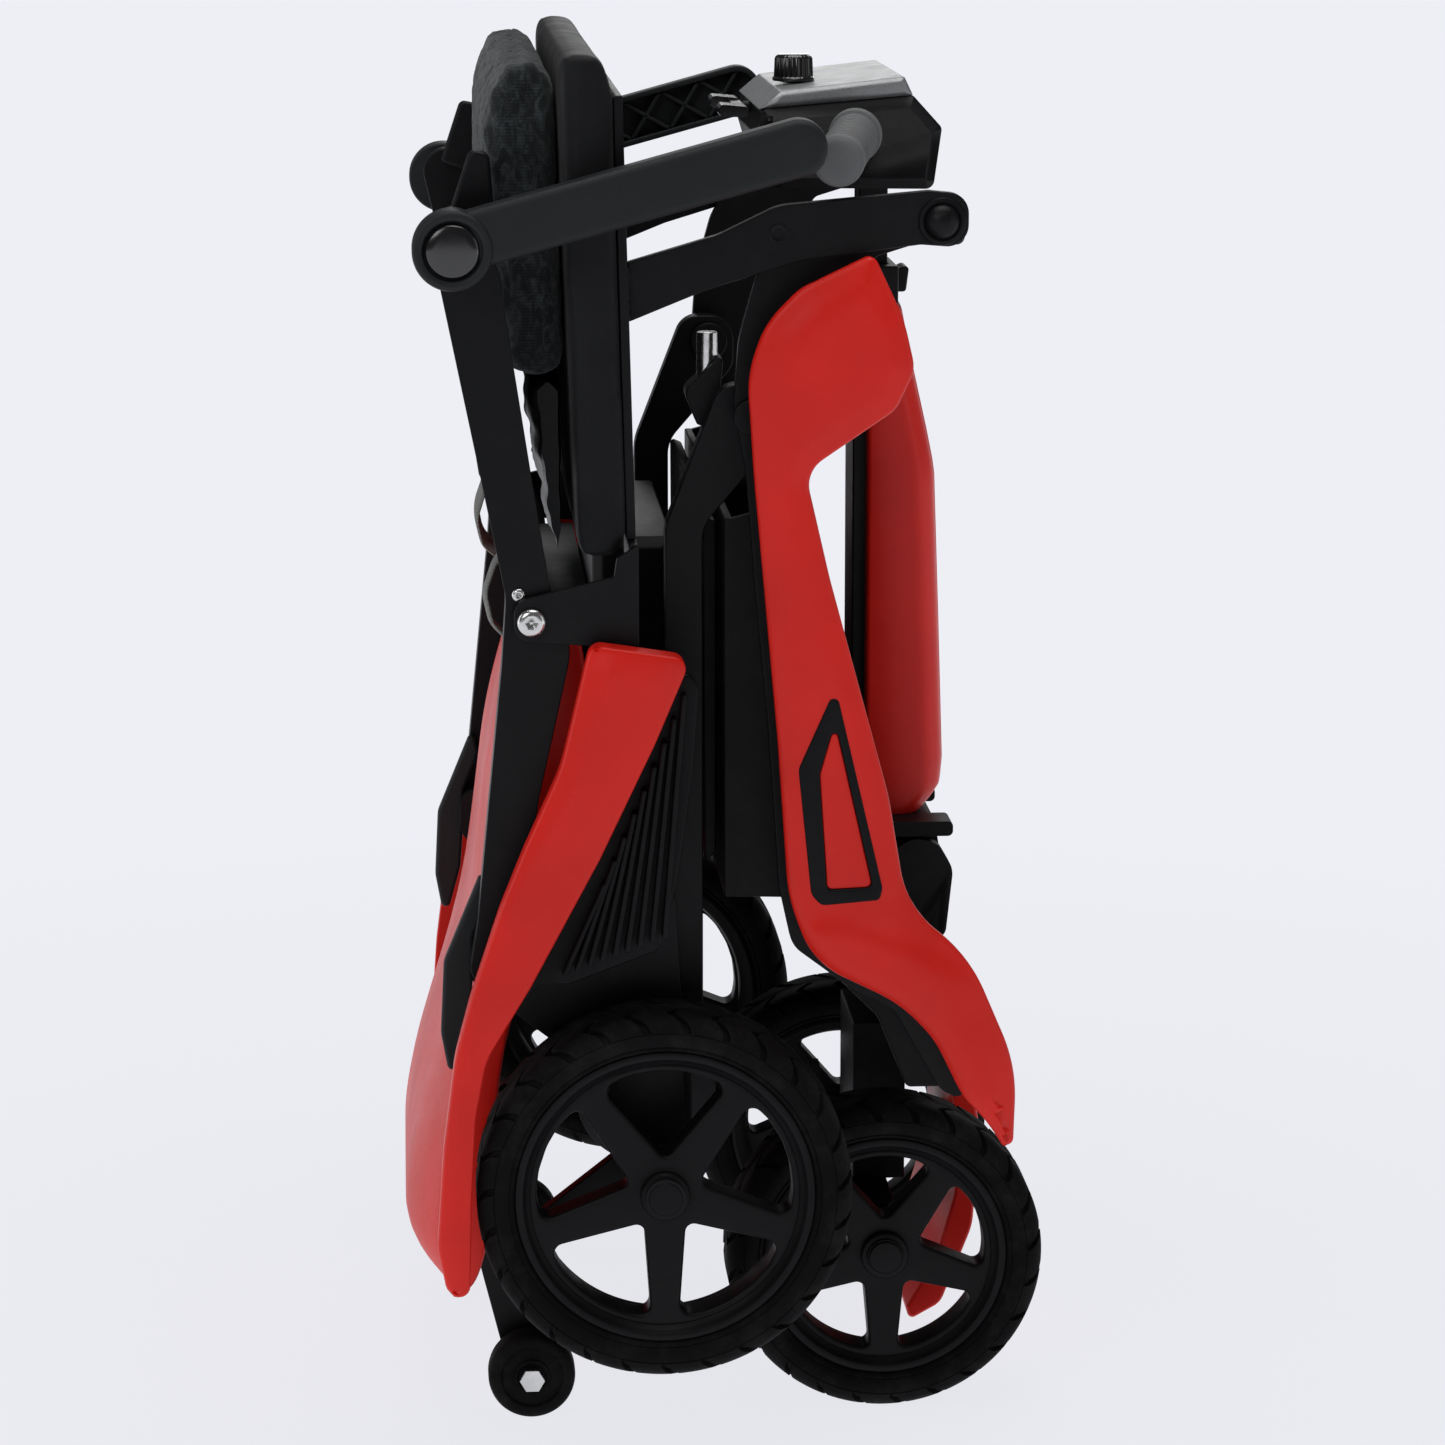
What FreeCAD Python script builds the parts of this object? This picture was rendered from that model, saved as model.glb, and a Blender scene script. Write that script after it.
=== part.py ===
"""Four-wheel folding mobility scooter, modelled folded and standing upright.

Millimetres, +Z up.  X runs along the folded thickness (the rear half is at -X, the front half at +X), Y runs
across the scooter, and Y = 0 is its middle plane.  The floor is Z = 0: the scooter stands on its two front
wheels and on two small trolley wheels.  Every left part (-Y) has a mirror image on the right (+Y).
"""
import FreeCAD, Part
import math
import os

V = FreeCAD.Vector
OUT = "parts"

# ---- pivots, as (X, Z) ------------------------------------------------------------------------------------
MAIN_HINGE = (10.0, 560.0)
POST_PIVOT = (-126.0, 272.0)
SEAT_PIVOT = (-106.0, 458.0)
ARM_PIVOT = (109.0, 662.0)
ARMREST_HUB = (-145.0, 652.5)
TILLER_PIVOT = (113.0, 280.0)
REAR_AXLE = (-38.0, 150.0)
FRONT_AXLE = (88.0, 87.5)
TROLLEY_AXLE = (-107.6, 24.0)
COLUMN_X = 91.0

# ---- wheels -----------------------------------------------------------------------------------------------
REAR_R = 100.0
REAR_IN, REAR_OUT = 182.0, 230.0
FRONT_R = 87.5
FRONT_IN, FRONT_OUT = 102.0, 148.0
TROLLEY_R = 24.0
TROLLEY_IN, TROLLEY_OUT = 130.0, 150.0
TYRE_DEPTH = 20.0
SPOKES = 5

# ---- layers across the scooter, as distances from the middle plane ---------------------------------------
RAIL_IN, RAIL_OUT = 150.0, 165.0
PLATE_IN, PLATE_OUT = 171.0, 178.0
ARM_IN, ARM_OUT = 180.0, 187.0
POST_IN, POST_OUT = 186.0, 204.0
SHROUD_IN, SHROUD_OUT = 196.0, 206.5
BRACKET_IN, BRACKET_OUT = 205.5, 210.5
ARMREST_IN, ARMREST_OUT = 211.0, 229.0
FENDER_IN, FENDER_OUT = 214.0, 231.0
RIB_IN, RIB_OUT = 213.0, 221.0
BODY_HALF = 166.0
SEAT_HALF = 200.0
CONSOLE_HALF = 82.0
GRIP_END = 192.0

# ---- pins and tubes ---------------------------------------------------------------------------------------
PIN_R = 6.0
SEAT_BOLT_R = 5.0
TROLLEY_BOLT_R = 4.0
REAR_AXLE_R = 8.0
FRONT_AXLE_R = 6.0
AXLE_TUBE_R = 14.0
CROSS_TUBE_R = 8.0
LEAD_R = 3.0
RUNNING = 0.05


# ---- helpers ----------------------------------------------------------------------------------------------
def unit(a, b):
    """Direction from a to b, and the distance."""
    length = math.hypot(b[0] - a[0], b[1] - a[1])
    return ((b[0] - a[0]) / length, (b[1] - a[1]) / length), length


# a corner's round takes at most this share of the side beside it
MOST_OF_SIDE = 0.48


def outline(points, y=0.0):
    """Closed face in the XZ plane at Y = y.  A point (x, z, r) has its corner rounded to radius r, or less
    where the sides are too short."""
    edges, starts, ends = [], [], []
    count = len(points)
    for i, point in enumerate(points):
        here = point[:2]
        radius = point[2] if len(point) > 2 else 0.0
        back, side = unit(here, points[i - 1])
        ahead, next_side = unit(here, points[(i + 1) % count])
        if radius == 0.0:
            starts.append(here)
            ends.append(here)
            edges.append(None)
            continue
        half = math.acos(max(-1.0, min(1.0, back[0] * ahead[0] + back[1] * ahead[1]))) / 2
        trim = min(radius / math.tan(half), MOST_OF_SIDE * min(side, next_side))
        radius = trim * math.tan(half)
        a = (here[0] + back[0] * trim, here[1] + back[1] * trim)
        b = (here[0] + ahead[0] * trim, here[1] + ahead[1] * trim)
        middle = (back[0] + ahead[0], back[1] + ahead[1])
        size = math.hypot(*middle)
        reach = radius / math.sin(half) - radius
        m = (here[0] + middle[0] / size * reach, here[1] + middle[1] / size * reach)
        starts.append(a)
        ends.append(b)
        edges.append(Part.Arc(V(a[0], y, a[1]), V(m[0], y, m[1]), V(b[0], y, b[1])).toShape())
    wire = []
    for i in range(count):
        if edges[i] is not None:
            wire.append(edges[i])
        a, b = ends[i], starts[(i + 1) % count]
        if math.hypot(b[0] - a[0], b[1] - a[1]) > 1e-6:
            wire.append(Part.makeLine(V(a[0], y, a[1]), V(b[0], y, b[1])))
    return Part.Face(Part.Wire(wire))


def slab(points, y0, y1):
    """Outline in XZ, from Y = y0 to Y = y1."""
    return outline(points, y0).extrude(V(0, y1 - y0, 0))


def across(points, half):
    """Outline in XZ, as wide as the scooter's middle: -half to +half."""
    return slab(points, -half, half)


def left(points, inner, outer):
    """Plate on the left side, between two distances from the middle plane."""
    return slab(points, -outer, -inner)


def box(x0, x1, y0, y1, z0, z1):
    return Part.makeBox(x1 - x0, y1 - y0, z1 - z0, V(x0, y0, z0))


def drum(centre, radius, y0, y1):
    """Cylinder along Y."""
    return Part.makeCylinder(radius, y1 - y0, V(centre[0], y0, centre[1]), V(0, 1, 0))


def post(x, y, radius, z0, z1):
    """Cylinder along Z."""
    return Part.makeCylinder(radius, z1 - z0, V(x, y, z0), V(0, 0, 1))


def ring(centre, profile):
    """Solid of revolution about the Y axis through centre; profile is (radius, y) points."""
    x, z = centre
    wire = Part.makePolygon([V(x + r, y, z) for r, y in profile + profile[:1]])
    return Part.Face(wire).revolve(V(x, 0, z), V(0, 1, 0), 360)


def mirror(shape):
    """The right-hand twin of a left-hand shape."""
    return shape.mirror(V(0, 0, 0), V(0, 1, 0))


def soften(shape, radius, pick):
    """Rounds the edges that pick accepts."""
    edges = [e for e in shape.Edges if pick(e)]
    return shape.makeFillet(radius, edges)


def bevel(shape, size, pick):
    """Chamfers the edges that pick accepts."""
    edges = [e for e in shape.Edges if pick(e)]
    return shape.makeChamfer(size, edges)


def at_y(y):
    """Accepts edges that lie in the plane Y = y."""
    return lambda e: abs(e.BoundBox.YMin - y) < 1e-3 and abs(e.BoundBox.YMax - y) < 1e-3


def save(name, *solids):
    shape = solids[0] if len(solids) == 1 else Part.makeCompound(list(solids))
    shape.exportStep(os.path.join(OUT, name + ".step"))


def save_pair(name, shape):
    """Left and right twins as two nodes."""
    save(name + "_left", shape)
    save(name + "_right", mirror(shape))


def save_both(name, *shapes):
    """Left and right twins in one node."""
    save(name, *shapes, *[mirror(s) for s in shapes])


# ---- wheels -----------------------------------------------------------------------------------------------
def tyre(centre, radius, inner, outer):
    """Solid rubber tyre with a flat tread, rounded shoulders and a step where it meets the rim."""
    seat = radius - TYRE_DEPTH
    profile = [
        (seat, -outer + 5), (seat + 3, -outer + 1), (radius - 8, -outer), (radius - 3, -outer + 3),
        (radius, -outer + 9), (radius, -inner - 9), (radius - 3, -inner - 3), (radius - 8, -inner),
        (seat + 3, -inner - 1), (seat, -inner - 5),
    ]
    return ring(centre, profile)


def rim(centre, radius, inner, outer, bore):
    """Five-spoke wheel: outer band, hub and spokes that taper towards the band."""
    seat = radius - TYRE_DEPTH
    band = ring(
        centre, [(seat - 10, -outer + 7), (seat, -outer + 5), (seat, -inner - 5), (seat - 10, -inner - 7)]
    )
    hub = drum(centre, 15.0, -outer + 3, -inner - 3)
    x, z = centre
    spokes = []
    for i in range(SPOKES):
        bar = slab(
            [(x - 9, z), (x + 9, z), (x + 6.5, z - seat + 5),
            (x - 6.5, z - seat + 5)], -outer + 8, -outer + 26
        )
        bar.rotate(V(x, 0, z), V(0, 1, 0), i * 360.0 / SPOKES)
        spokes.append(bar)
    wheel = hub.fuse([band] + spokes).removeSplitter()
    return wheel.cut(drum(centre, bore + RUNNING, -outer, -inner))


def hex_bolt(centre, radius, y0, y1):
    """Hexagonal head along Y."""
    corners = []
    for i in range(6):
        a = math.radians(60 * i)
        corners.append((centre[0] + radius * math.cos(a), centre[1] + radius * math.sin(a)))
    return slab(corners, y0, y1)


def build_wheels():
    save_pair("rear_tyre", tyre(REAR_AXLE, REAR_R, REAR_IN, REAR_OUT))
    save_pair("rear_rim", rim(REAR_AXLE, REAR_R, REAR_IN, REAR_OUT, REAR_AXLE_R))
    save_pair("front_tyre", tyre(FRONT_AXLE, FRONT_R, FRONT_IN, FRONT_OUT))
    save_pair("front_rim", rim(FRONT_AXLE, FRONT_R, FRONT_IN, FRONT_OUT, FRONT_AXLE_R))
    bore = TROLLEY_BOLT_R + RUNNING
    roller = ring(
        TROLLEY_AXLE,
        [
            (bore, -TROLLEY_OUT), (18, -TROLLEY_OUT), (TROLLEY_R - 2, -TROLLEY_OUT + 1),
            (TROLLEY_R, -TROLLEY_OUT + 4), (TROLLEY_R, -TROLLEY_IN - 4), (TROLLEY_R - 2, -TROLLEY_IN - 1),
            (18, -TROLLEY_IN), (bore, -TROLLEY_IN),
        ],
    )
    save_pair("trolley_wheel", roller)


# ---- rear half: frame -------------------------------------------------------------------------------------
def hinge_stop():
    """Block at the left main hinge that the folded front half comes to rest against."""
    return slab([(-23, 570, 6), (-16, 552), (-6, 549), (-2, 586, 6), (-4, 588), (-14, 578)], -RAIL_IN + 0.2, -128)


def build_rear_frame():
    """Two steel side rails from the main hinge to the axle, tied by cross tubes, and the stop at the hinge."""
    x, z = MAIN_HINGE
    rail = left(
        [
            (x + 15, z + 15, 14), (x - 15, z + 15, 14), (-34, 500, 30), (-34, 250, 20), (-56, 190, 12),
            (-56, 132, 12), (-20, 132, 12), (-20, 200, 20), (-14, 240, 20), (-14, 500, 20),
            (x + 15, z - 15, 14),
        ],
        RAIL_IN, RAIL_OUT,
    )
    rail = rail.cut(drum(REAR_AXLE, AXLE_TUBE_R, -RAIL_OUT, -RAIL_IN))
    rail = rail.cut(drum(MAIN_HINGE, PIN_R, -RAIL_OUT, -RAIL_IN))
    ties = [drum((-24, z0), 9.0, -RAIL_IN, RAIL_IN) for z0 in (254.0, 300.0)]
    save("rear_frame", rail, mirror(rail), hinge_stop(), *ties)


def build_rear_hardware():
    """Pins and bolts of the rear half.  The hinge pins are fixed in the rails and turn in the front side
    plates, the stubs carry the seat posts, and the trolley wheels turn on their own bolts."""
    pin = drum(MAIN_HINGE, PIN_R, -PLATE_OUT - 2, -RAIL_IN + 4)
    pin = pin.fuse(drum(MAIN_HINGE, 9.0, -PLATE_OUT - 5, -PLATE_OUT - 2))
    pin = pin.fuse(drum(MAIN_HINGE, 11.0, -RAIL_IN, -RAIL_IN + 4)).removeSplitter()
    stub = drum(POST_PIVOT, PIN_R, -POST_OUT - 1, -PLATE_OUT + 2)
    stub = stub.fuse(drum(POST_PIVOT, 9.0, -POST_IN + 0.5, -PLATE_OUT + 2))
    stub = stub.fuse(drum(POST_PIVOT, 9.0, -POST_OUT - 4, -POST_OUT - 0.5)).removeSplitter()
    roller_bolt = drum(TROLLEY_AXLE, TROLLEY_BOLT_R, -TROLLEY_OUT - 1, -TROLLEY_IN + 9)
    bolt_head = hex_bolt(TROLLEY_AXLE, 7.0, -TROLLEY_OUT - 6, -TROLLEY_OUT - 1)
    roller_bolt = roller_bolt.fuse(bolt_head).removeSplitter()
    stop_nut = post(-10, -138, 5.5, 574, 600).cut(hinge_stop())
    axle_end = drum(REAR_AXLE, REAR_AXLE_R, -226, -176)
    axle_nut = drum(REAR_AXLE, 11.0, -229, -227.2).fuse(drum(REAR_AXLE, 6.0, -227.2, -226))
    pieces = [pin, stub, roller_bolt, axle_end.fuse(axle_nut).removeSplitter()]
    save("rear_hardware", stop_nut, *pieces, *[mirror(piece) for piece in pieces])


def build_rear_side_plates():
    """Plates that carry the seat posts' lower pivots and the side covers."""
    x, z = POST_PIVOT
    plate = left(
        [
            (x - 14, z + 12, 10), (x + 12, z + 16, 10), (-66, 306, 10), (-30, 306, 8), (-26, 236, 20),
            (-24, 134, 10), (-54, 134, 10), (-66, 200, 20), (x - 14, z - 14, 12),
        ],
        PLATE_IN - 4, PLATE_OUT - 2,
    )
    plate = plate.cut(drum(REAR_AXLE, AXLE_TUBE_R, -PLATE_OUT, -PLATE_IN + 4))
    save_both("rear_side_plates", plate)


def build_drive():
    """Gearbox and motor round the rear axle."""
    x, z = REAR_AXLE
    gearbox = drum(REAR_AXLE, 40.0, -32, 28).fuse(drum((x - 22, z + 52), 30.0, -30, 26))
    motor = drum((x - 22, z + 52), 34.0, 26, 118)
    tube = drum(REAR_AXLE, AXLE_TUBE_R, -176, 176)
    save("transaxle", gearbox.fuse([motor, tube]).removeSplitter())


def build_battery():
    """Battery in its bay between the rails, with the black floor panel beside it."""
    case = bevel(box(-70, -26, -104, 104, 322, 484), 6.0, at_y(-104))
    save("battery_case", case)
    save("rear_floor_panel", across([(-13, 503, 2), (-6, 500, 2), (-6, 320, 2), (-12, 312, 2)], 148))


# tail cover, from its top down the back and up the inside: (x at the sides, x in the middle, z)
TAIL_SKIN = [
    (-76, -76, 448), (-92, -94, 446), (-110, -114, 396), (-124, -127, 345), (-129, -132, 304),
    (-135, -139, 255),
    (-141, -149, 217), (-149, -160.5, 182), (-154.5, -170, 150), (-157, -175.5, 120), (-156.5, -175.9, 98),
    (-150, -166, 80), (-138, -140, 80), (-128, -128, 120), (-125, -125, 206), (-108, -108, 262),
    (-80, -80, 310),
    (-72, -72, 330),
]
TAIL_HOLLOW = [
    (-60, -60, 436), (-88, -90, 436), (-105, -109, 394), (-118.5, -121.5, 344), (-123.5, -126.5, 303),
    (-129.5, -133.5, 254), (-135.5, -143, 216), (-143.5, -155, 181), (-149, -164.5, 150), (-151.5, -170, 121),
    (-151, -170, 100), (-146, -160, 86), (-134, -136, 86), (-96, -96, 206), (-76, -76, 262), (-60, -60, 310),
]
TAIL_FLAT = 84.0


def crowned(points, half):
    """Solid between the profile at Y = -half and +half and the fuller one across the middle."""
    wires = []
    for y, column in ((-half, 0), (-TAIL_FLAT, 1), (TAIL_FLAT, 1), (half, 0)):
        corners = [V(p[column], y, p[2]) for p in points]
        wires.append(Part.makePolygon(corners + corners[:1]))
    return Part.makeLoft(wires, True, True)


def build_tail():
    """Red tail cover over the battery and drive, fuller in the middle, and a dark cap over each post's foot."""
    cover = crowned(TAIL_SKIN, BODY_HALF)
    cover = cover.cut(crowned(TAIL_HOLLOW, BODY_HALF - 5))
    save("tail_cover", cover)
    insert = left(
        [(-132, 322, 3), (-153.5, 270, 14), (-155.5, 231, 14), (-150, 200, 3), (-140, 236, 10), (-138, 262),
         (-137.5, 284), (-128.5, 306)],
        PLATE_OUT - 2, POST_IN - 0.6,
    )
    save_both("tail_inserts", insert)


def build_rear_sides():
    """Red fenders outside the posts, and the ribbed black panels that fill the space to their right."""
    fender = left(
        [
            (-76, 449, 7), (-92, 383, 90), (-111, 341, 90), (-124, 309, 90), (-140, 261, 90),
            (-148.5, 229, 90),
            (-155, 180, 60), (-159, 125, 30), (-154, 98, 7), (-142, 98, 7), (-140.5, 152, 60),
            (-138, 196, 60),
            (-132, 228, 40), (-109, 266, 60), (-72, 335, 120), (-43, 396, 120), (-24, 441, 7),
        ],
        FENDER_IN, FENDER_OUT,
    )
    fender = bevel(fender, 4.0, at_y(-FENDER_OUT))
    save_pair("rear_fender", fender)
    panel = left(
        [
            (-26, 433, 6), (-19, 423, 8), (-22, 381, 30), (-30, 322, 30), (-40, 282, 6), (-88, 264),
            (-103, 264, 4),
            (-112, 256, 4), (-116, 262, 4), (-78, 335, 60), (-50, 396, 60),
        ],
        RIB_IN - 6, RIB_IN,
    )
    ribs = []
    for i in range(9):
        top = (-27.0 - 5.2 * i, 420.0 - 12.5 * i)
        low = (-38.0 - 6.6 * i, 290.0 - 2.4 * i)
        ribs.append(
            left(
                [(top[0] - 1.6, top[1]), (top[0] + 1.0, top[1]), (low[0] + 1.6, low[1]),
                (low[0] - 1.0, low[1])],
                RIB_IN - 0.5, RIB_OUT,
            )
        )
    save_pair("ribbed_panel", panel.fuse(ribs))


def build_trolley_mounts():
    """Bracket of each trolley wheel."""
    x, z = TROLLEY_AXLE
    arm = left(
        [(x - 32, 100, 5), (x + 6, 112, 8), (x + 11, z - 9, 9), (x - 11, z - 9, 9)],
        TROLLEY_IN - 9, TROLLEY_IN - 2,
    )
    arm = arm.cut(drum(TROLLEY_AXLE, TROLLEY_BOLT_R, -TROLLEY_IN, -TROLLEY_IN + 10))
    shelf = box(x - 24, x - 2, -RAIL_IN + 0.2, -TROLLEY_IN + 9, 96, 104)
    brace = left([(-131, 96, 4), (-104, 96, 4), (-50, 134), (-52, 158)], 140, RAIL_IN - 0.2)
    brace = brace.cut(drum(REAR_AXLE, AXLE_TUBE_R, -RAIL_IN, -139))
    save_both("trolley_brackets", arm.fuse([shelf, brace]).removeSplitter())


# ---- front half -------------------------------------------------------------------------------------------
def build_front_frame():
    """Steel side plates with the lever up to the seat arm, the foot deck, the bulkhead and the axle beam."""
    x, z = ARM_PIVOT
    plate = left(
        [
            (x + 13, z + 13, 12.9), (x - 4, z + 13, 10), (60, 662, 20), (34, 656, 20), (14, 636, 28),
            (4, 600, 50),
            (1.5, 566, 30), (8, 531, 60), (13, 467), (20, 393), (26, 306, 30), (33, 274, 16), (62, 252, 16),
            (88, 238, 12), (114, 192, 12), (126, 186, 6), (132, 214, 10), (112, 262, 12), (88, 284, 10),
            (60, 420),
            (40, 520, 12), (46, 546, 14), (82, 572, 10), (80, 604, 12), (72, 642, 6), (98, 650, 4),
            (x + 4, z - 13, 6), (x + 13, z - 13, 12.9),
        ],
        PLATE_IN, PLATE_OUT,
    )
    plate = plate.cut(drum(MAIN_HINGE, PIN_R + RUNNING, -PLATE_OUT, -PLATE_IN))
    plate = plate.cut(drum(ARM_PIVOT, SEAT_BOLT_R, -PLATE_OUT, -PLATE_IN))
    save_both("front_side_plates", plate)
    deck = across([(16, 512, 4), (39, 512, 4), (52, 420), (60, 300), (34, 296, 6)], PLATE_IN)
    liner = across([(-3, 505), (1, 505), (1, 300), (-3, 300)], PLATE_IN)
    flange = left([(1, 505), (16, 509), (33.5, 299), (1, 300)], PLATE_IN - 5, PLATE_IN).cut(deck)
    save("foot_deck", deck, liner.fuse([flange, mirror(flange)]).removeSplitter())
    bulkhead = across(
        [
            (38, 294), (60, 298), (84, 276, 6), (106, 256, 6), (124, 214, 10), (124, 192, 6), (96, 192, 4),
            (80, 232, 10), (44, 268, 6),
        ],
        PLATE_IN,
    )
    bulkhead = bulkhead.cut(box(60, 140, -52, 52, 224, 320))
    save("front_bulkhead", bulkhead)
    beam = box(76, 100, -80, 80, 77, 99)
    riser = box(80, 110, -38, 38, 99, 192)
    save("front_axle_beam", beam, riser)


def build_front_covers():
    """Red side covers of the front half, each with a raised panel in a dark frame, and the red bumper."""
    cover = left(
        [
            (72, 647, 5), (34, 629, 30), (16, 611, 60), (7, 584, 60), (10.5, 531, 200), (23, 393, 200),
            (29, 306, 90), (42, 271, 60), (88, 248, 90), (107, 228, 60), (122.5, 196, 40),
            (136.5, 181, 90), (150.5, 158, 8), (152, 211, 90), (126, 272, 90), (92, 300, 90),
            (82, 360, 200), (50, 478, 200), (37, 534, 16), (84, 566, 16), (94, 587, 16), (88, 613, 90),
        ],
        SHROUD_IN, SHROUD_OUT,
    )
    cover = bevel(cover, 3.0, at_y(-SHROUD_OUT))
    frame = [(53, 421, 3), (33.5, 377, 8), (40.5, 309, 8), (46, 303, 5), (77, 305.5, 3), (78.5, 312, 4)]
    inner = [(52.8, 402, 2), (44.8, 374, 5), (49, 311.5, 3), (73.2, 312.5, 3)]
    recess = left(frame, SHROUD_OUT - 3.0, SHROUD_OUT)
    save_pair("front_side_cover", cover.cut(recess))
    surround = left(frame, SHROUD_OUT - 3.0, SHROUD_OUT - 0.4).cut(left(inner, SHROUD_OUT - 3.0, SHROUD_OUT))
    save_both("cover_inset_frames", surround)
    save_both("cover_inset_panels", left(inner, SHROUD_OUT - 3.0, SHROUD_OUT - 1.2))
    bumper = across(
        [
            (128, 192, 4), (140, 190, 6), (149, 140, 40), (146, 80, 40), (128, 34, 12), (110, 24, 6),
            (108, 32, 3),
            (124, 60, 30), (136, 100, 40), (134, 150, 40),
        ],
        70,
    )
    stay = box(110, 136, -12, 12, 120, 132)
    save("front_bumper", bumper, stay.cut(bumper))


def build_front_knuckles():
    """Steering knuckle of each front wheel: kingpin across the beam's end, stub axle and steering arm."""
    x, z = FRONT_AXLE
    kingpin_y = -88.0
    pin = Part.makeCylinder(6.0, 44, V(x - 22, kingpin_y, z), V(1, 0, 0))
    barrel = Part.makeCylinder(7.9, 24, V(x - 12, kingpin_y, z), V(1, 0, 0))
    stub = drum(FRONT_AXLE, FRONT_AXLE_R, -FRONT_OUT + 4, kingpin_y)
    cap = drum(FRONT_AXLE, 10.0, -FRONT_OUT + 1.8, -FRONT_OUT + 2.8)
    cap = cap.fuse(drum(FRONT_AXLE, 4.0, -FRONT_OUT + 2.8, -FRONT_OUT + 4))
    arm = box(x - 22, x - 16, kingpin_y - 6, kingpin_y + 6, z, z + 46)
    save_pair("front_knuckle", pin.fuse([barrel, stub, cap, arm]).removeSplitter())


def build_tiller_base():
    """Fork on the front frame that carries the folding tiller."""
    ear = left(
        [
            (99, 294, 14), (113, 303, 14), (127, 298, 10), (135, 284, 14), (131, 246, 6), (118, 240, 4),
            (99, 240, 4),
        ],
        38, 50,
    )
    ear = ear.cut(drum(TILLER_PIVOT, PIN_R, -50, -38))
    bridge = across([(84, 230, 3), (100, 240), (131, 246, 4), (128, 232, 6), (100, 226)], 50)
    pin = drum(TILLER_PIVOT, PIN_R, -50, 50)
    save("tiller_base", ear, mirror(ear), bridge.cut(ear).cut(mirror(ear)), pin)


# ---- tiller -----------------------------------------------------------------------------------------------
def build_tiller_knuckle():
    """Knuckle that folds on the tiller pin and holds the steering bearing above it."""
    body = across(
        [
            (78, 311, 4), (126, 311, 4), (129, 292, 12), (127, 264, 13), (100, 264, 13), (97, 292, 10),
            (78, 300, 4),
        ],
        33,
    )
    body = body.cut(drum(TILLER_PIVOT, PIN_R + RUNNING, -40, 40))
    cheek = left([(98, 313, 3), (134, 313, 3), (134, 304.5, 3), (98, 304.5, 3)], 33, 56)
    bearing = post(COLUMN_X, 0, 12.0, 311, 316)
    save("tiller_knuckle", body.fuse([cheek, mirror(cheek), bearing]).removeSplitter())


def build_tiller_column():
    """Outer column with its ridged red cover and the clamp collar at its top."""
    tube = box(79.5, 106, -22, 22, 317, 600).cut(box(82.5, 99.5, -14.5, 14.5, 330, 600))
    cover = across(
        [
            (86.5, 318), (120, 313), (131.5, 327), (132.5, 342), (126.5, 508), (115, 560), (107.5, 598),
            (86.5, 600),
        ],
        36,
    )
    cover = bevel(cover, 7.0, at_y(-36))
    cover = bevel(cover, 7.0, at_y(36))
    core = across([(80, 340), (129.5, 342), (123.5, 508), (110.5, 560), (80, 560)], 60)
    grooves = [box(100, 140, y - 1.5, y + 1.5, 350, 545).cut(core) for y in (-20.0, 20.0)]
    save("tiller_cover", cover.cut(box(60, 106.3, -22.3, 22.3, 300, 601)).cut(Part.makeCompound(grooves)))
    collar = box(78, 104, -26, 26, 600.5, 622).cut(box(82.5, 99.5, -14.5, 14.5, 600, 623))
    lever = across([(104, 606, 2), (110, 606, 2), (112, 622, 3), (104, 618, 2)], 10)
    save("tiller_column", tube, collar, lever.cut(collar))


def build_tiller_top():
    """Telescoping inner column, console and handlebar with its two grips."""
    inner = box(83, 99, -14, 14, 362, 672)
    base = across(
        [(22, 697, 4), (30, 670, 6), (117, 669, 5), (121.5, 702, 4), (106, 719), (24, 712, 3)], CONSOLE_HALF
    )
    base = bevel(base, 6.0, at_y(-CONSOLE_HALF))
    base = bevel(base, 6.0, at_y(CONSOLE_HALF))
    boss = Part.makeCylinder(3.0, 5.8, V(19.2, 0, 708.5), V(1, 0, 0))
    save("console_base", base.cut(box(83, 99, -14, 14, 600, 672)).fuse(boss).removeSplitter())
    top = across([(22, 711.9), (106, 719.1), (101, 729.5), (34, 722)], CONSOLE_HALF - 5)
    top = bevel(bevel(top, 2.5, at_y(-CONSOLE_HALF + 5)), 2.5, at_y(CONSOLE_HALF - 5))
    save("console_top", top.cut(base))
    root = V(76, -CONSOLE_HALF, 702)
    tip = V(54, -GRIP_END, 693)
    along = tip.sub(root)
    bar = Part.makeCylinder(8.0, 24, root.sub(V(along).normalize().multiply(3)), along)
    grip = Part.makeCylinder(13.0, along.Length - 18, root.add(V(along).normalize().multiply(18)), along)
    grip = grip.cut(Part.makeCylinder(8.0, 8, root.add(V(along).normalize().multiply(14)), along))
    grip = soften(grip, 2.5, lambda e: e.BoundBox.YMax < -GRIP_END + 8)
    bar = bar.cut(base)
    save("tiller_inner_column", inner, bar, mirror(bar))
    save_both("grips", grip)
    knob = post(45, -28, 11.0, 725.0, 738.5)
    save("speed_knob", soften(knob, 1.5, lambda e: e.BoundBox.ZMin > 737))
    paddle = slab([(3, 706, 2.5), (3, 713, 2.5), (19, 711.5, 2), (19, 706, 2)], -46, -24)
    save("throttle_paddles", paddle.fuse([mirror(paddle), box(13, 19, -46, 46, 706.5, 710.5)]).removeSplitter())


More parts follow.
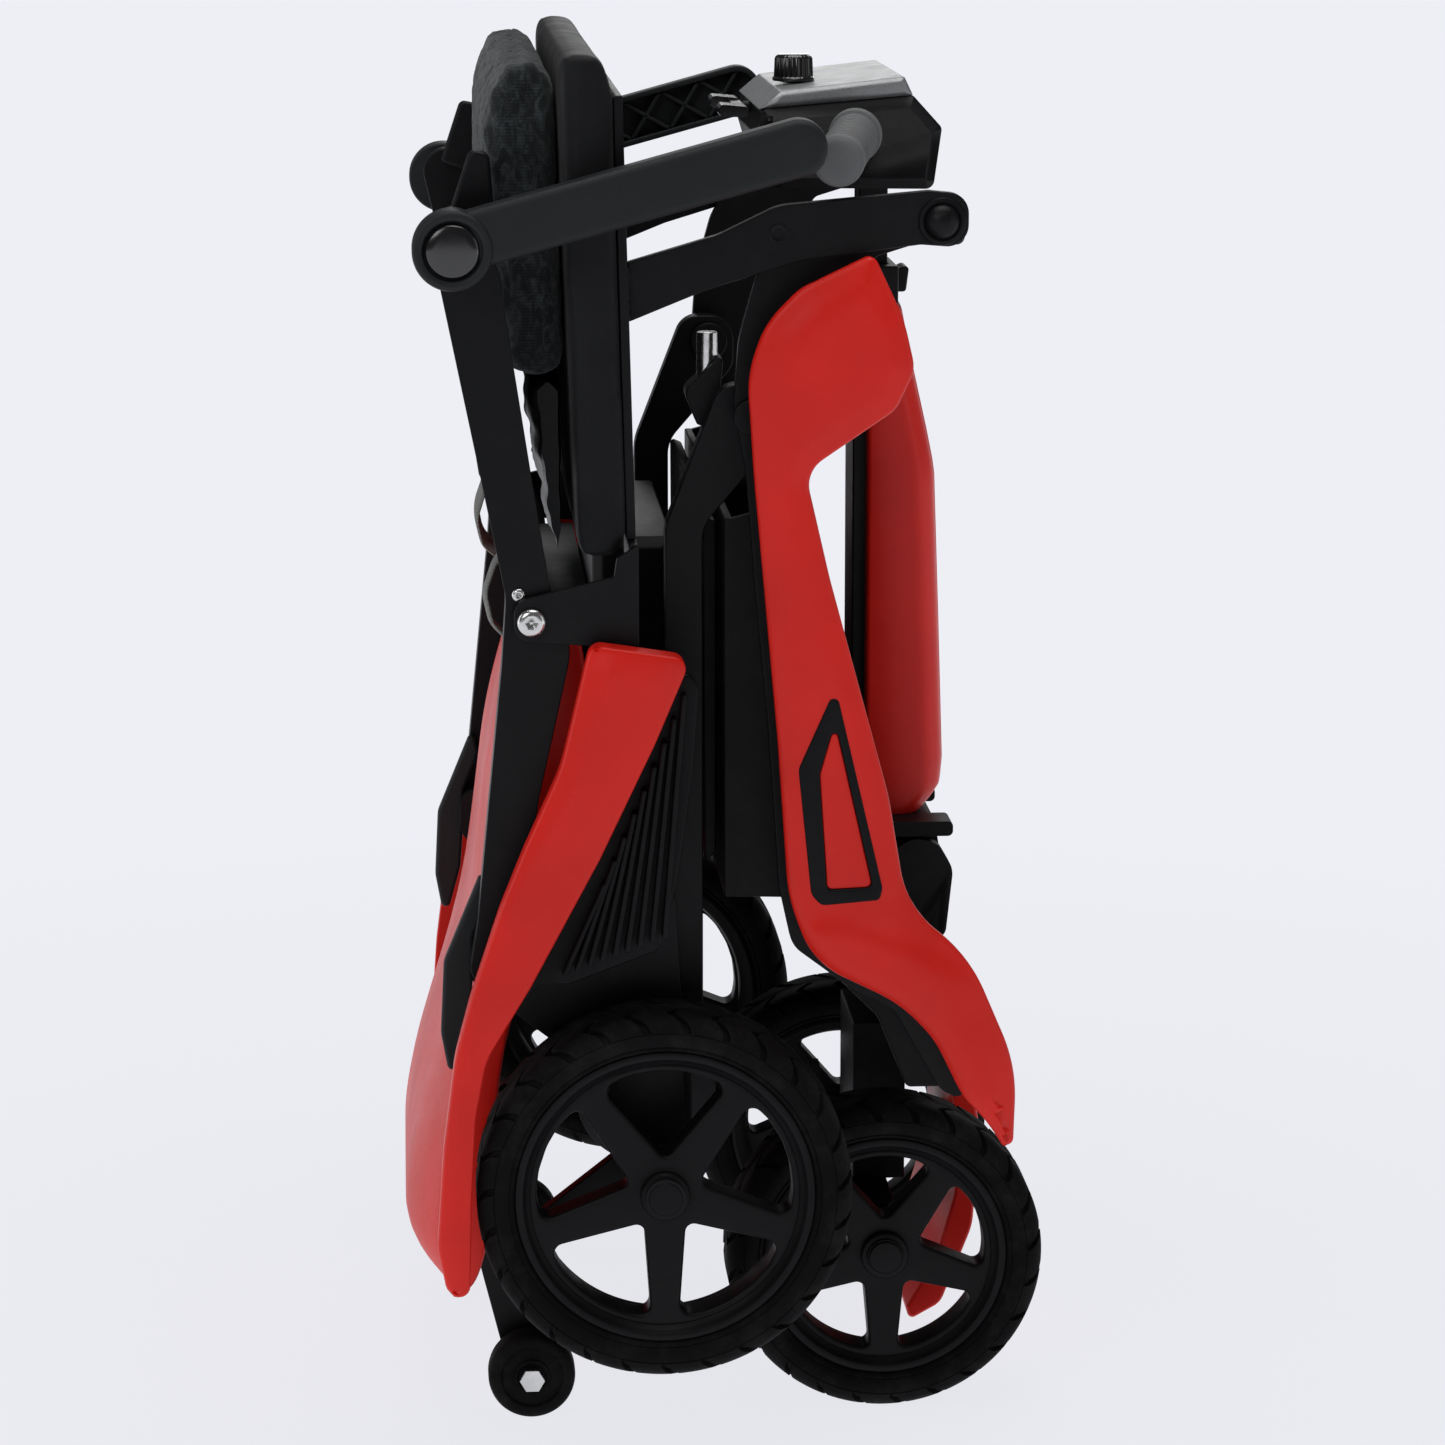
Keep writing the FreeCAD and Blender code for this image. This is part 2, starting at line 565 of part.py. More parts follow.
# ---- seat -------------------------------------------------------------------------------------------------
def build_seat():
    """Seat pad round its steel pan, the brackets to the posts and the arms to the front levers."""
    save("seat_pan", across([(-55.8, 498, 3), (-61.8, 728, 3), (-56.8, 728), (-50.8, 498)], 194))
    pad = across(
        [(-80, 489, 5), (-89.3, 750, 8), (-68, 750, 8), (-58.4, 734, 8), (-51.7, 504, 3), (-62, 489, 4)],
        SEAT_HALF,
    )
    pad = bevel(bevel(pad, 3.5, at_y(-SEAT_HALF)), 3.5, at_y(SEAT_HALF))
    pocket = across([(-55.9, 480), (-61.9, 728.2), (-40, 728.2), (-40, 480)], 194.2)
    save("seat_pad", pad.cut(pocket))
    x, z = SEAT_PIVOT
    bracket = left(
        [(x - 9, z + 11, 9), (-63, 481), (-61.5, 491, 2), (-50, 498), (-50, 443, 3), (x - 9, z - 10, 9)],
        BRACKET_IN, BRACKET_OUT,
    )
    bracket = bracket.cut(drum(SEAT_PIVOT, SEAT_BOLT_R, -BRACKET_OUT, -BRACKET_IN))
    web = left([(-55, 482, 2), (-55, 497.5), (-50, 497.5), (-50, 482, 2)], 150, BRACKET_IN)
    save_both("seat_brackets", bracket, web)
    under = -BRACKET_OUT - 0.02
    bolt = drum(SEAT_PIVOT, SEAT_BOLT_R, under, -POST_IN + 1)
    head = ring(
        SEAT_PIVOT,
        [(0, -BRACKET_OUT - 4), (4, -BRACKET_OUT - 4), (7.5, -BRACKET_OUT - 1), (7.5, under), (0, under)],
    )
    save_both("seat_pivot_bolts", bolt.fuse(head).removeSplitter())
    px, pz = ARM_PIVOT
    arm = left(
        [
            (-54.5, 642), (-7, 656, 30), (24, 671, 30), (102, 678, 10), (px + 14, pz + 14, 14),
            (px + 14, pz - 14, 14), (98, 650, 10), (35, 642, 40), (-14, 627), (-53.7, 611),
        ],
        ARM_IN, ARM_OUT,
    )
    dome = ring(
        ARM_PIVOT,
        [
            (0, -ARM_OUT - 7.5), (3, -ARM_OUT - 7.3), (7, -ARM_OUT - 5), (9, -ARM_OUT - 2), (9, -ARM_OUT),
            (0, -ARM_OUT),
        ],
    )
    save_both("seat_arms", arm, dome)


# ---- seat posts, backrest and armrests -------------------------------------------------------------------
CROSS_TUBES = [(-138.0, 622.0), (-124.0, 540.0)]


def build_posts():
    """Bent posts from the rear frame to the armrest hubs, with the tubes that join them."""
    hx, hz = ARMREST_HUB
    px, pz = POST_PIVOT
    bar = left(
        [
            (hx + 18, hz + 4, 14), (hx + 4, hz + 22, 10), (hx - 14, hz + 12, 14), (-151, 630, 20),
            (-119, 470, 40),
            (-121.5, 434, 60), (-135.5, 296, 40), (px - 14, pz - 2, 10), (px - 8, pz - 13, 8),
            (px + 9, pz - 13, 9),
            (px + 13, pz + 6, 12), (-103, 361, 60), (-84, 446, 60), (-96, 473, 60), (-121, 637, 10),
        ],
        POST_IN, POST_OUT,
    )
    bar = bar.cut(drum(POST_PIVOT, PIN_R + RUNNING, -POST_OUT, -POST_IN))
    bar = bar.cut(drum(SEAT_PIVOT, SEAT_BOLT_R + RUNNING, -POST_OUT, -POST_IN))
    fin = left(
        [
            (hx - 2, hz + 12), (hx + 10, hz + 48, 4), (hx + 20, hz + 46, 5), (hx + 22, hz + 20, 4),
            (hx + 14, hz + 6),
        ],
        POST_IN - 8, POST_IN,
    )
    hub_pin = drum(ARMREST_HUB, PIN_R, -ARMREST_OUT + 9, -POST_OUT)
    save_pair("seat_post", Part.makeCompound([bar, fin, hub_pin]))
    save("post_cross_tubes", *[drum(centre, CROSS_TUBE_R, -POST_IN, POST_IN) for centre in CROSS_TUBES])


def build_backrest():
    """Padded backrest on a plastic shell, with the cover panel and carry strap behind the posts."""
    half = 176.0
    pad = across(
        [
            (-86.5, 577, 5), (-88.8, 622, 90), (-92, 748, 12), (-116, 748, 12), (-130, 720, 60),
            (-130, 640, 90),
            (-117, 577, 12),
        ],
        half,
    )
    pad = bevel(bevel(pad, 4.0, at_y(-half)), 4.0, at_y(half))
    save("backrest_pad", pad.cut(across([(-150, 560), (-118, 560), (-122, 660), (-150, 660)], 200)))
    flap = across([(-87, 576.6), (-105, 576.6), (-98.5, 517), (-93, 492, 2), (-88.5, 492, 2), (-87.5, 540)], 168)
    save("backrest_flap", flap)
    shell = across(
        [(-148, 634, 3), (-131.5, 527, 4), (-125, 523, 4), (-112.5, 525, 4), (-119, 574, 10),
        (-124, 634, 4)], 160
    )
    for centre in CROSS_TUBES:
        shell = shell.cut(drum(centre, CROSS_TUBE_R + 0.3, -160, 160))
    save("backrest_shell", shell)


def build_strap():
    """Carry strap: a band looped from one post's back face to the other end of the shell."""
    outer = left([(-111, 490, 4), (-125, 480, 14), (-131, 462, 18), (-127, 444, 14), (-112, 430, 6)], 120, 160)
    inner = left([(-108.9, 492), (-121, 478, 12), (-128, 462, 16), (-124, 446, 12), (-108.9, 428)], 118, 162)
    band = outer.cut(inner)
    save("carry_strap", band, mirror(band))


def build_armrests():
    """Swing-up armrests: hub disc, bar with a ribbed inner face, and a round cap."""
    hx, hz = ARMREST_HUB
    slope = math.atan2(46.0, 168.0)
    c, s = math.cos(slope), math.sin(slope)

    def along(u, v):
        return (hx + u * c - v * s, hz + u * s + v * c)

    low, high, end, round_end = -12.5, 17.0, 198.0, 14.5
    bar = left(
        [along(10, high) + (3,), along(end, high) + (round_end,), along(end, low) + (round_end,),
        along(10, low) + (3,)],
        ARMREST_IN, ARMREST_OUT,
    )
    pockets = []
    for i in range(7):
        u = 30.0 + 23.0 * i
        up = i % 2 == 0
        a, b = (high - 5, low + 5) if up else (low + 5, high - 5)
        corners = [along(u + 2, a), along(u + 21, a), along(u + (21 if up else 2), b)]
        pockets.append(left(corners, ARMREST_IN, ARMREST_IN + 12))
    bar = bar.cut(pockets)
    bar = bevel(bar, 2.0, at_y(-ARMREST_OUT))
    hub = drum(ARMREST_HUB, 20.5, -ARMREST_OUT - 2, -ARMREST_IN + 3)
    hub = soften(hub, 2.5, at_y(-ARMREST_OUT - 2))
    arm = bar.fuse(hub).removeSplitter().cut(drum(ARMREST_HUB, PIN_R + RUNNING, -ARMREST_OUT + 8, -ARMREST_IN + 4))
    arm = arm.cut(drum(ARMREST_HUB, 13.4, -ARMREST_OUT - 3, -ARMREST_OUT + 1))
    cap = soften(drum(ARMREST_HUB, 13.0, -ARMREST_OUT - 3, -ARMREST_OUT + 1), 1.2, at_y(-ARMREST_OUT - 3))
    save_pair("armrest", Part.makeCompound([arm, cap]))


# ---- held cable -------------------------------------------------------------------------------------------
def build_motor_lead():
    """Motor lead: from the motor's end, looped under the axle tube and up to the floor panel."""
    route = [
        V(-60, 118, 204), V(-60, 136, 200), V(-66, 134, 150), V(-34, 126, 104), V(0, 114, 128), V(0, 104, 180),
        V(-6, 102, 244), V(-9, 100, 312),
    ]
    edges, here = [], route[0]
    for i in range(1, len(route) - 1):
        back, ahead = route[i - 1].sub(route[i]), route[i + 1].sub(route[i])
        short = min(back.Length, ahead.Length)
        half = back.getAngle(ahead) / 2
        trim = 0.45 * short
        size = trim * math.tan(half)
        a = route[i].add(V(back).normalize().multiply(trim))
        b = route[i].add(V(ahead).normalize().multiply(trim))
        inward = V(back).normalize().add(V(ahead).normalize()).normalize()
        m = route[i].add(inward.multiply(size / math.sin(half) - size))
        edges += [Part.makeLine(here, a), Part.Arc(a, m, b).toShape()]
        here = b
    edges.append(Part.makeLine(here, route[-1]))
    path = Part.Wire(edges)
    start = Part.Wire(Part.makeCircle(LEAD_R, route[0], route[1].sub(route[0])))
    save("motor_lead", path.makePipeShell([start], True, True))


def main():
    os.makedirs(OUT, exist_ok=True)
    build_wheels()
    build_rear_frame()
    build_rear_hardware()
    build_rear_side_plates()
    build_drive()
    build_battery()
    build_tail()
    build_rear_sides()
    build_trolley_mounts()
    build_front_frame()
    build_front_covers()
    build_front_knuckles()
    build_tiller_base()
    build_tiller_knuckle()
    build_tiller_column()
    build_tiller_top()
    build_seat()
    build_posts()
    build_backrest()
    build_strap()
    build_armrests()
    build_motor_lead()


main()
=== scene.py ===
import math
import random

import bmesh
import bpy
import numpy as np
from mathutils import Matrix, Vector
from mathutils.geometry import delaunay_2d_cdt


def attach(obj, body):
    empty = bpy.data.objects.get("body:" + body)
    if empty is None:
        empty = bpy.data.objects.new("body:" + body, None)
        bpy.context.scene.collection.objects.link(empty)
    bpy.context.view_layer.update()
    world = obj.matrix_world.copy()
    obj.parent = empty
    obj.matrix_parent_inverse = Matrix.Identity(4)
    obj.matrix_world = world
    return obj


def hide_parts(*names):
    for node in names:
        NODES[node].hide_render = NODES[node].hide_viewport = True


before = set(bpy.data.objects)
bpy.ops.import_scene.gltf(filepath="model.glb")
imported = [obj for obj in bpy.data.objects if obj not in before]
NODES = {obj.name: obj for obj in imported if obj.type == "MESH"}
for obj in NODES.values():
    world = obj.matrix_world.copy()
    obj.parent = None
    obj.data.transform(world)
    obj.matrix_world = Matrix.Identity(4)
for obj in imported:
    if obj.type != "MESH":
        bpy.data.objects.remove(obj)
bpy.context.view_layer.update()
MM = 0.001

# pivots and wheel centres as (x, z), in millimetres
SEAT_PIVOT = (-106.0, 458.0)
ARM_PIVOT = (109.0, 662.0)
ARMREST_HUB = (-145.0, 652.5)
REAR_AXLE = (-38.0, 150.0)
FRONT_AXLE = (88.0, 87.5)
TROLLEY_AXLE = (-107.6, 24.0)


# ---- materials --------------------------------------------------------------------------------------------
class Graph:
    """Node tree of one material, with short ways to add nodes."""

    def __init__(self, name):
        self.material = bpy.data.materials.new(name)
        self.material.use_nodes = True
        self.tree = self.material.node_tree
        self.shader = self.tree.nodes["Principled BSDF"]
        self.place = self.add("ShaderNodeTexCoord").outputs["Object"]

    def link(self, source, target):
        if isinstance(source, (int, float, tuple)):
            target.default_value = source
        else:
            self.tree.links.new(source, target)

    def add(self, kind, inputs=None, **settings):
        """New node, with its properties set, and each of its inputs set or linked."""
        node = self.tree.nodes.new(kind)
        for key, value in settings.items():
            setattr(node, key, value)
        for key, value in (inputs or {}).items():
            self.link(value, node.inputs[key])
        return node

    def stretched(self, scale):
        return self.add("ShaderNodeMapping", {"Vector": self.place, "Scale": scale}).outputs["Vector"]

    def noise(self, scale, detail=4.0, rough=0.55, place=None, distortion=0.0):
        inputs = {"Vector": place or self.place, "Scale": scale, "Detail": detail, "Roughness": rough,
                  "Distortion": distortion}
        return self.add("ShaderNodeTexNoise", inputs).outputs["Fac"]

    def cells(self, scale, feature="F1", place=None):
        inputs = {"Vector": place or self.place, "Scale": scale}
        return self.add("ShaderNodeTexVoronoi", inputs, feature=feature).outputs["Distance"]

    def bands(self, scale, direction, distortion=0.0):
        inputs = {"Vector": self.place, "Scale": scale, "Distortion": distortion, "Detail Scale": 3.0}
        return self.add("ShaderNodeTexWave", inputs, bands_direction=direction).outputs["Fac"]

    def math(self, operation, a, b):
        return self.add("ShaderNodeMath", {0: a, 1: b}, operation=operation).outputs[0]

    def spread(self, value, low, high, out_low=0.0, out_high=1.0):
        inputs = {"Value": value, "From Min": low, "From Max": high, "To Min": out_low, "To Max": out_high}
        return self.add("ShaderNodeMapRange", inputs).outputs["Result"]

    def blend(self, factor, a, b):
        return self.add("ShaderNodeMix", {0: factor, 6: a, 7: b}, data_type="RGBA").outputs[2]

    def bump(self, height, distance, strength=1.0, under=None):
        inputs = {"Strength": strength, "Distance": distance * MM, "Height": height}
        if under is not None:
            inputs["Normal"] = under
        return self.add("ShaderNodeBump", inputs).outputs["Normal"]

    def set(self, **values):
        """Sets or links the shader's inputs, named with underscores for spaces."""
        for key, value in values.items():
            self.link(value, self.shader.inputs[key.replace("_", " ")])
        return self.material


def shade(colour, factor):
    return tuple(c * factor for c in colour) + (1.0,)


DUST = (0.09, 0.088, 0.085, 1.0)


def moulded(name, colour, rough, grain, grain_depth, spread, metal=0.0, coat=0.0, wear=0.25, wear_gain=3.0,
            specular=0.5, dust=0.0):
    """Plastic, paint, rubber or metal: tone that drifts, fine grain, uneven gloss, and worn edges."""
    g = Graph(name)
    drift = g.spread(g.noise(14.0, 5.0), 0.3, 0.7)
    base = g.blend(drift, shade(colour, 1 - spread), shade(colour, 1 + spread))
    pointy = g.add("ShaderNodeNewGeometry").outputs["Pointiness"]
    rubbed = g.math("MULTIPLY", g.spread(pointy, 0.53, 0.62), g.spread(g.noise(90.0, 6.0), 0.42, 0.68))
    base = g.blend(g.math("MULTIPLY", rubbed, wear), base, shade(colour, wear_gain))
    if dust:
        settled = g.math("MULTIPLY", g.spread(g.noise(55.0, 8.0, 0.7), 0.48, 0.72), dust)
        base = g.blend(settled, base, DUST)
    smear = g.spread(g.noise(9.0, 7.0, 0.62, distortion=0.6), 0.3, 0.7, rough - 0.07, rough + 0.08)
    speck = g.spread(g.noise(420.0, 2.0), 0.3, 0.7, -0.02, 0.03)
    normal = g.bump(g.noise(grain, 3.0, 0.6), grain_depth, 1.0, g.bump(g.noise(22.0, 3.0), 0.16, 0.5))
    return g.set(Base_Color=base, Roughness=g.math("ADD", smear, speck), Normal=normal, Metallic=metal,
                 Coat_Weight=coat, Coat_Roughness=0.18, Specular_IOR_Level=specular)


def brushed(name, colour, rough):
    """Plated or machined steel with fine turning marks."""
    g = Graph(name)
    marks = g.noise(260.0, 6.0, 0.7, g.stretched((1.0, 9.0, 1.0)))
    base = g.blend(g.spread(g.noise(60.0, 5.0), 0.35, 0.7), shade(colour, 0.82), shade(colour, 1.05))
    gloss = g.spread(marks, 0.3, 0.7, rough - 0.06, rough + 0.12)
    return g.set(Base_Color=base, Roughness=gloss, Normal=g.bump(marks, 0.02), Metallic=1.0)


def vinyl(name, colour):
    """Seat cover: soft leather grain, matte, slightly lighter where it is stretched."""
    g = Graph(name)
    pebbles = g.cells(620.0, "SMOOTH_F1")
    creases = g.cells(150.0, "DISTANCE_TO_EDGE")
    base = g.blend(g.spread(g.noise(12.0, 5.0), 0.3, 0.7), shade(colour, 0.8), shade(colour, 1.25))
    base = g.blend(g.spread(pebbles, 0.1, 0.6, 0.0, 0.35), base, shade(colour, 0.55))
    gloss = g.spread(g.noise(40.0, 6.0), 0.3, 0.7, 0.5, 0.66)
    normal = g.bump(g.spread(creases, 0.0, 0.12), 0.05, 0.5, g.bump(g.noise(30.0, 4.0), 0.5, 0.5))
    return g.set(Base_Color=base, Roughness=gloss, Normal=g.bump(pebbles, 0.10, 0.8, normal),
                 Specular_IOR_Level=0.2, Sheen_Weight=0.03)


def cloth(name, colour, light):
    """Crinkled upholstery cloth: a fine weave under a creased surface, with a painted highlight that lightens
    the crests of its crinkles.
    """
    g = Graph(name)
    weave = g.math("MULTIPLY", g.bands(190.0, "Z", 0.6), g.bands(190.0, "Y", 0.6))
    crinkle = g.noise(170.0, 7.0, 0.72, g.stretched((1.0, 1.0, 0.6)), distortion=1.1)
    folds = g.cells(95.0, "DISTANCE_TO_EDGE", g.stretched((1.0, 1.0, 0.55)))
    # painted highlight: the colour lightens where the crinkle noise, which the bump raises, is high; the
    # weave adds its own light and dark threads
    weave_and_crest_highlight = g.math("ADD", g.spread(crinkle, 0.42, 0.66), g.spread(weave, 0.0, 1.0, -0.15, 0.2))
    base = g.blend(g.spread(weave_and_crest_highlight, 0.1, 1.0), shade(colour, 0.6), shade(light, 1.0))
    base = g.blend(g.spread(g.noise(16.0, 4.0), 0.35, 0.7, 0.0, 0.5), base, shade(colour, 1.0))
    height = g.math("ADD", g.math("MULTIPLY", crinkle, 0.8), g.spread(folds, 0.0, 0.25, 0.0, 0.35))
    normal = g.bump(weave, 0.12, 0.6, g.bump(height, 1.3, 0.9))
    return g.set(Base_Color=base, Roughness=g.spread(crinkle, 0.3, 0.7, 0.78, 0.95), Normal=normal,
                 Sheen_Weight=0.18, Sheen_Roughness=0.5, Specular_IOR_Level=0.25)


def webbing(name, colour):
    """Strap webbing: diagonal twill across its width."""
    g = Graph(name)
    twill = g.bands(260.0, "DIAGONAL", 0.3)
    ribs = g.bands(130.0, "Y", 0.1)
    base = g.blend(twill, shade(colour, 0.65), shade(colour, 1.15))
    base = g.blend(g.spread(g.noise(35.0, 6.0), 0.4, 0.7, 0.0, 0.6), base, shade(colour, 0.8))
    normal = g.bump(twill, 0.22, 0.9, g.bump(ribs, 0.15, 0.6))
    gloss = g.spread(g.noise(300.0, 4.0), 0.3, 0.7, 0.7, 0.9)
    return g.set(Base_Color=base, Roughness=gloss, Normal=normal, Sheen_Weight=0.25)


def speckled(name, colour, rough):
    """Silver-painted plastic with fine metal flake."""
    g = Graph(name)
    flake = g.cells(1900.0)
    base = g.blend(g.spread(flake, 0.1, 0.6), shade(colour, 1.3), shade(colour, 0.8))
    base = g.blend(g.spread(g.noise(18.0, 5.0), 0.3, 0.7, 0.0, 0.4), base, shade(colour, 0.85))
    gloss = g.spread(g.noise(70.0, 6.0), 0.3, 0.7, rough - 0.06, rough + 0.1)
    return g.set(Base_Color=base, Roughness=gloss, Normal=g.bump(g.noise(800.0, 2.0), 0.03), Metallic=0.45)


# name, colour, roughness, scale and depth of the grain, drift of the tone, and what differs from the usual
MOULDED = (
    ("red_plastic", (0.72, 0.013, 0.006), 0.42, 520.0, 0.035, 0.09,
     dict(coat=0.04, wear=0.22, wear_gain=1.35, specular=0.28)),
    ("black_plastic", (0.0042, 0.0043, 0.0050), 0.47, 640.0, 0.06, 0.15,
     dict(specular=0.14, wear=0.3, dust=0.03)),
    ("charcoal_plastic", (0.014, 0.0155, 0.0165), 0.52, 760.0, 0.16, 0.12,
     dict(specular=0.22, wear=0.3, wear_gain=2.2)),
    ("black_steel", (0.0040, 0.0042, 0.0050), 0.42, 430.0, 0.06, 0.15,
     dict(specular=0.17, wear=0.4, dust=0.03)),
    ("rubber", (0.0034, 0.0034, 0.0038), 0.72, 350.0, 0.22, 0.18,
     dict(specular=0.10, wear=0.6, wear_gain=4.5, dust=0.10)),
    ("grip_rubber", (0.125, 0.128, 0.130), 0.62, 500.0, 0.12, 0.14,
     dict(specular=0.35, wear=0.3, wear_gain=1.5)),
    ("knob_plastic", (0.006, 0.006, 0.0065), 0.16, 300.0, 0.01, 0.1, dict(specular=0.6, coat=0.5, wear=0.1)),
    ("drive_alloy", (0.035, 0.036, 0.038), 0.5, 300.0, 0.22, 0.18, dict(metal=0.6, wear=0.4, dust=0.15)),
    ("wet_vinyl", (0.0045, 0.0048, 0.0055), 0.42, 260.0, 0.12, 0.2, dict(specular=0.22, wear=0.1)),
    ("dull_rim", (0.0034, 0.0034, 0.0040), 0.46, 500.0, 0.05, 0.15,
     dict(specular=0.16, wear=0.5, wear_gain=4.0, dust=0.02)),
)
MATERIALS = {name: moulded(name, *values, **options) for name, *values, options in MOULDED}
MATERIALS.update(
    bright_steel=brushed("bright_steel", (0.72, 0.72, 0.71), 0.2),
    seat_vinyl=vinyl("seat_vinyl", (0.0055, 0.0058, 0.0070)),
    back_fabric=cloth("back_fabric", (0.0095, 0.0125, 0.014), (0.062, 0.074, 0.078)),
    strap_webbing=webbing("strap_webbing", (0.115, 0.118, 0.10)),
    silver_plastic=speckled("silver_plastic", (0.31, 0.315, 0.32), 0.38),
)


# ---- mesh tools -------------------------------------------------------------------------------------------
def made(name, bm):
    """Mesh data from a bmesh, which it frees."""
    mesh = bpy.data.meshes.new(name)
    bm.to_mesh(mesh)
    bm.free()
    return mesh


def placed(name, data):
    """New object in the scene."""
    thing = bpy.data.objects.new(name, data)
    bpy.context.scene.collection.objects.link(thing)
    return thing


def finish_mesh(name, bm, body, slot, look=None, sharp=38.0, nodes=(), weighted=False):
    """Piece made of a mesh, riding its body and standing for its CAD nodes."""
    bmesh.ops.recalc_face_normals(bm, faces=bm.faces)
    mesh = made(name, bm)
    mesh.shade_smooth()
    mesh.set_sharp_from_angle(angle=math.radians(sharp))
    mesh.materials.append(MATERIALS[look or slot])
    piece = placed(name, mesh)
    if weighted:
        piece.modifiers.new("weighted", "WEIGHTED_NORMAL").keep_sharp = True
    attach(piece, body)
    if nodes:
        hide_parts(*nodes)
    return piece


def turns(count):
    return [2 * math.pi * k / count for k in range(count)]


def vertices(bm, points):
    """New vertices at points in millimetres."""
    return [bm.verts.new((x * MM, y * MM, z * MM)) for x, y, z in points]


def add_mesh(bm, points, faces):
    """Adds points in millimetres, and faces as tuples of their indices."""
    verts = vertices(bm, points)
    for face in faces:
        bm.faces.new([verts[i] for i in face])


def loft(rings, closed=False):
    """Mesh through rings of points in millimetres. An open row of rings is capped at both ends."""
    bm = bmesh.new()
    rings = [vertices(bm, ring) for ring in rings]
    count = len(rings[0])
    for a, b in zip(rings, rings[1:] + (rings[:1] if closed else [])):
        for i in range(count):
            bm.faces.new((a[i], a[(i + 1) % count], b[(i + 1) % count], b[i]))
    if not closed:
        bm.faces.new(rings[0])
        bm.faces.new(rings[-1])
    return bm


def two_sided(first, second):
    """Closed mesh between two grids of points in millimetres, joined round their rims."""
    bm = bmesh.new()
    first, second = ([vertices(bm, row) for row in grid] for grid in (first, second))
    for grid in (first, second):
        for a, b in zip(grid, grid[1:]):
            for i in range(len(a) - 1):
                bm.faces.new((a[i], a[i + 1], b[i + 1], b[i]))
    for k in (0, -1):
        for i in range(len(first[0]) - 1):
            bm.faces.new((first[k][i], first[k][i + 1], second[k][i + 1], second[k][i]))
        for j in range(len(first) - 1):
            bm.faces.new((first[j][k], first[j + 1][k], second[j + 1][k], second[j][k]))
    return bm


def prism(profile, half):
    """Closed mesh of an XZ profile from -half to +half, in millimetres."""
    count = len(profile)
    bm = bmesh.new()
    points = [(x, y, z) for y in (-half, half) for x, z in profile]
    faces = [tuple(range(count)), tuple(range(2 * count - 1, count - 1, -1))]
    faces += [(i, count + i, count + (i + 1) % count, (i + 1) % count) for i in range(count)]
    add_mesh(bm, points, faces)
    return bm


def mirrored(bm):
    other = bm.copy()
    for v in other.verts:
        v.co.y = -v.co.y
    return other


def merged(first, second):
    """Adds the second bmesh to the first, and frees it."""
    mesh = made("merge", second)
    first.from_mesh(mesh)
    bpy.data.meshes.remove(mesh)
    return first


def rounded(points, step=2.0):
    """Closed line through (x, z, r) corners, each rounded to radius r, as points about step apart."""
    runs = []
    count = len(points)
    for i, point in enumerate(points):
        here = np.array(point[:2], float)
        radius = point[2] if len(point) > 2 else 0.0
        back = np.array(points[i - 1][:2], float) - here
        ahead = np.array(points[(i + 1) % count][:2], float) - here
        side, next_side = np.linalg.norm(back), np.linalg.norm(ahead)
        back, ahead = back / side, ahead / next_side
        if radius == 0.0:
            runs.append([here])
            continue
        half = math.acos(max(-1.0, min(1.0, float(back @ ahead)))) / 2
        trim = min(radius / math.tan(half), 0.48 * min(side, next_side))
        radius = trim * math.tan(half)
        toward = (back + ahead) / np.linalg.norm(back + ahead)
        centre = here + toward * radius / math.sin(half)
        start = here + back * trim - centre
        turn = math.pi - 2 * half
        if start[1] * back[0] - start[0] * back[1] < 0:
            turn = -turn
        pieces = max(2, int(abs(turn) * radius / step), int(abs(turn) / 0.3))
        arc = []
        for k in range(pieces + 1):
            a = turn * k / pieces
            c, s = math.cos(a), math.sin(a)
            arc.append(centre + np.array((start[0] * c - start[1] * s, start[0] * s + start[1] * c)))
        runs.append(arc)
    line = []
    for i, run in enumerate(runs):
        line += run
        a, b = run[-1], runs[(i + 1) % count][0]
        gap = np.linalg.norm(b - a)
        extra = int(gap / step)
        line += [a + (b - a) * (k + 1) / (extra + 1) for k in range(extra)]
    kept = [line[0]]
    for p in line[1:]:
        if np.linalg.norm(p - kept[-1]) > 0.05:
            kept.append(p)
    if np.linalg.norm(kept[0] - kept[-1]) < 0.05:
        kept.pop()
    return np.array(kept)


def inside(points, loops):
    """Which points lie in the plate that the loops bound."""
    result = np.zeros(len(points), bool)
    for loop in loops:
        a, b = loop, np.roll(loop, -1, axis=0)
        for p, q in zip(a, b):
            if p[1] == q[1]:
                continue
            crosses = (p[1] > points[:, 1]) != (q[1] > points[:, 1])
            at = p[0] + (points[:, 1] - p[1]) * (q[0] - p[0]) / (q[1] - p[1])
            result ^= crosses & (points[:, 0] < at)
    return result


def inward(loop, loops=None):
    """Unit vector at each point of a loop, pointing into the plate that it bounds with the other loops."""
    along = np.roll(loop, -1, axis=0) - np.roll(loop, 1, axis=0)
    length = np.maximum(np.hypot(along[:, 0], along[:, 1]), 1e-9)
    normal = np.stack([-along[:, 1], along[:, 0]], 1) / length[:, None]
    return normal * np.where(inside(loop + normal * 0.05, loops or [loop]), 1.0, -1.0)[:, None]


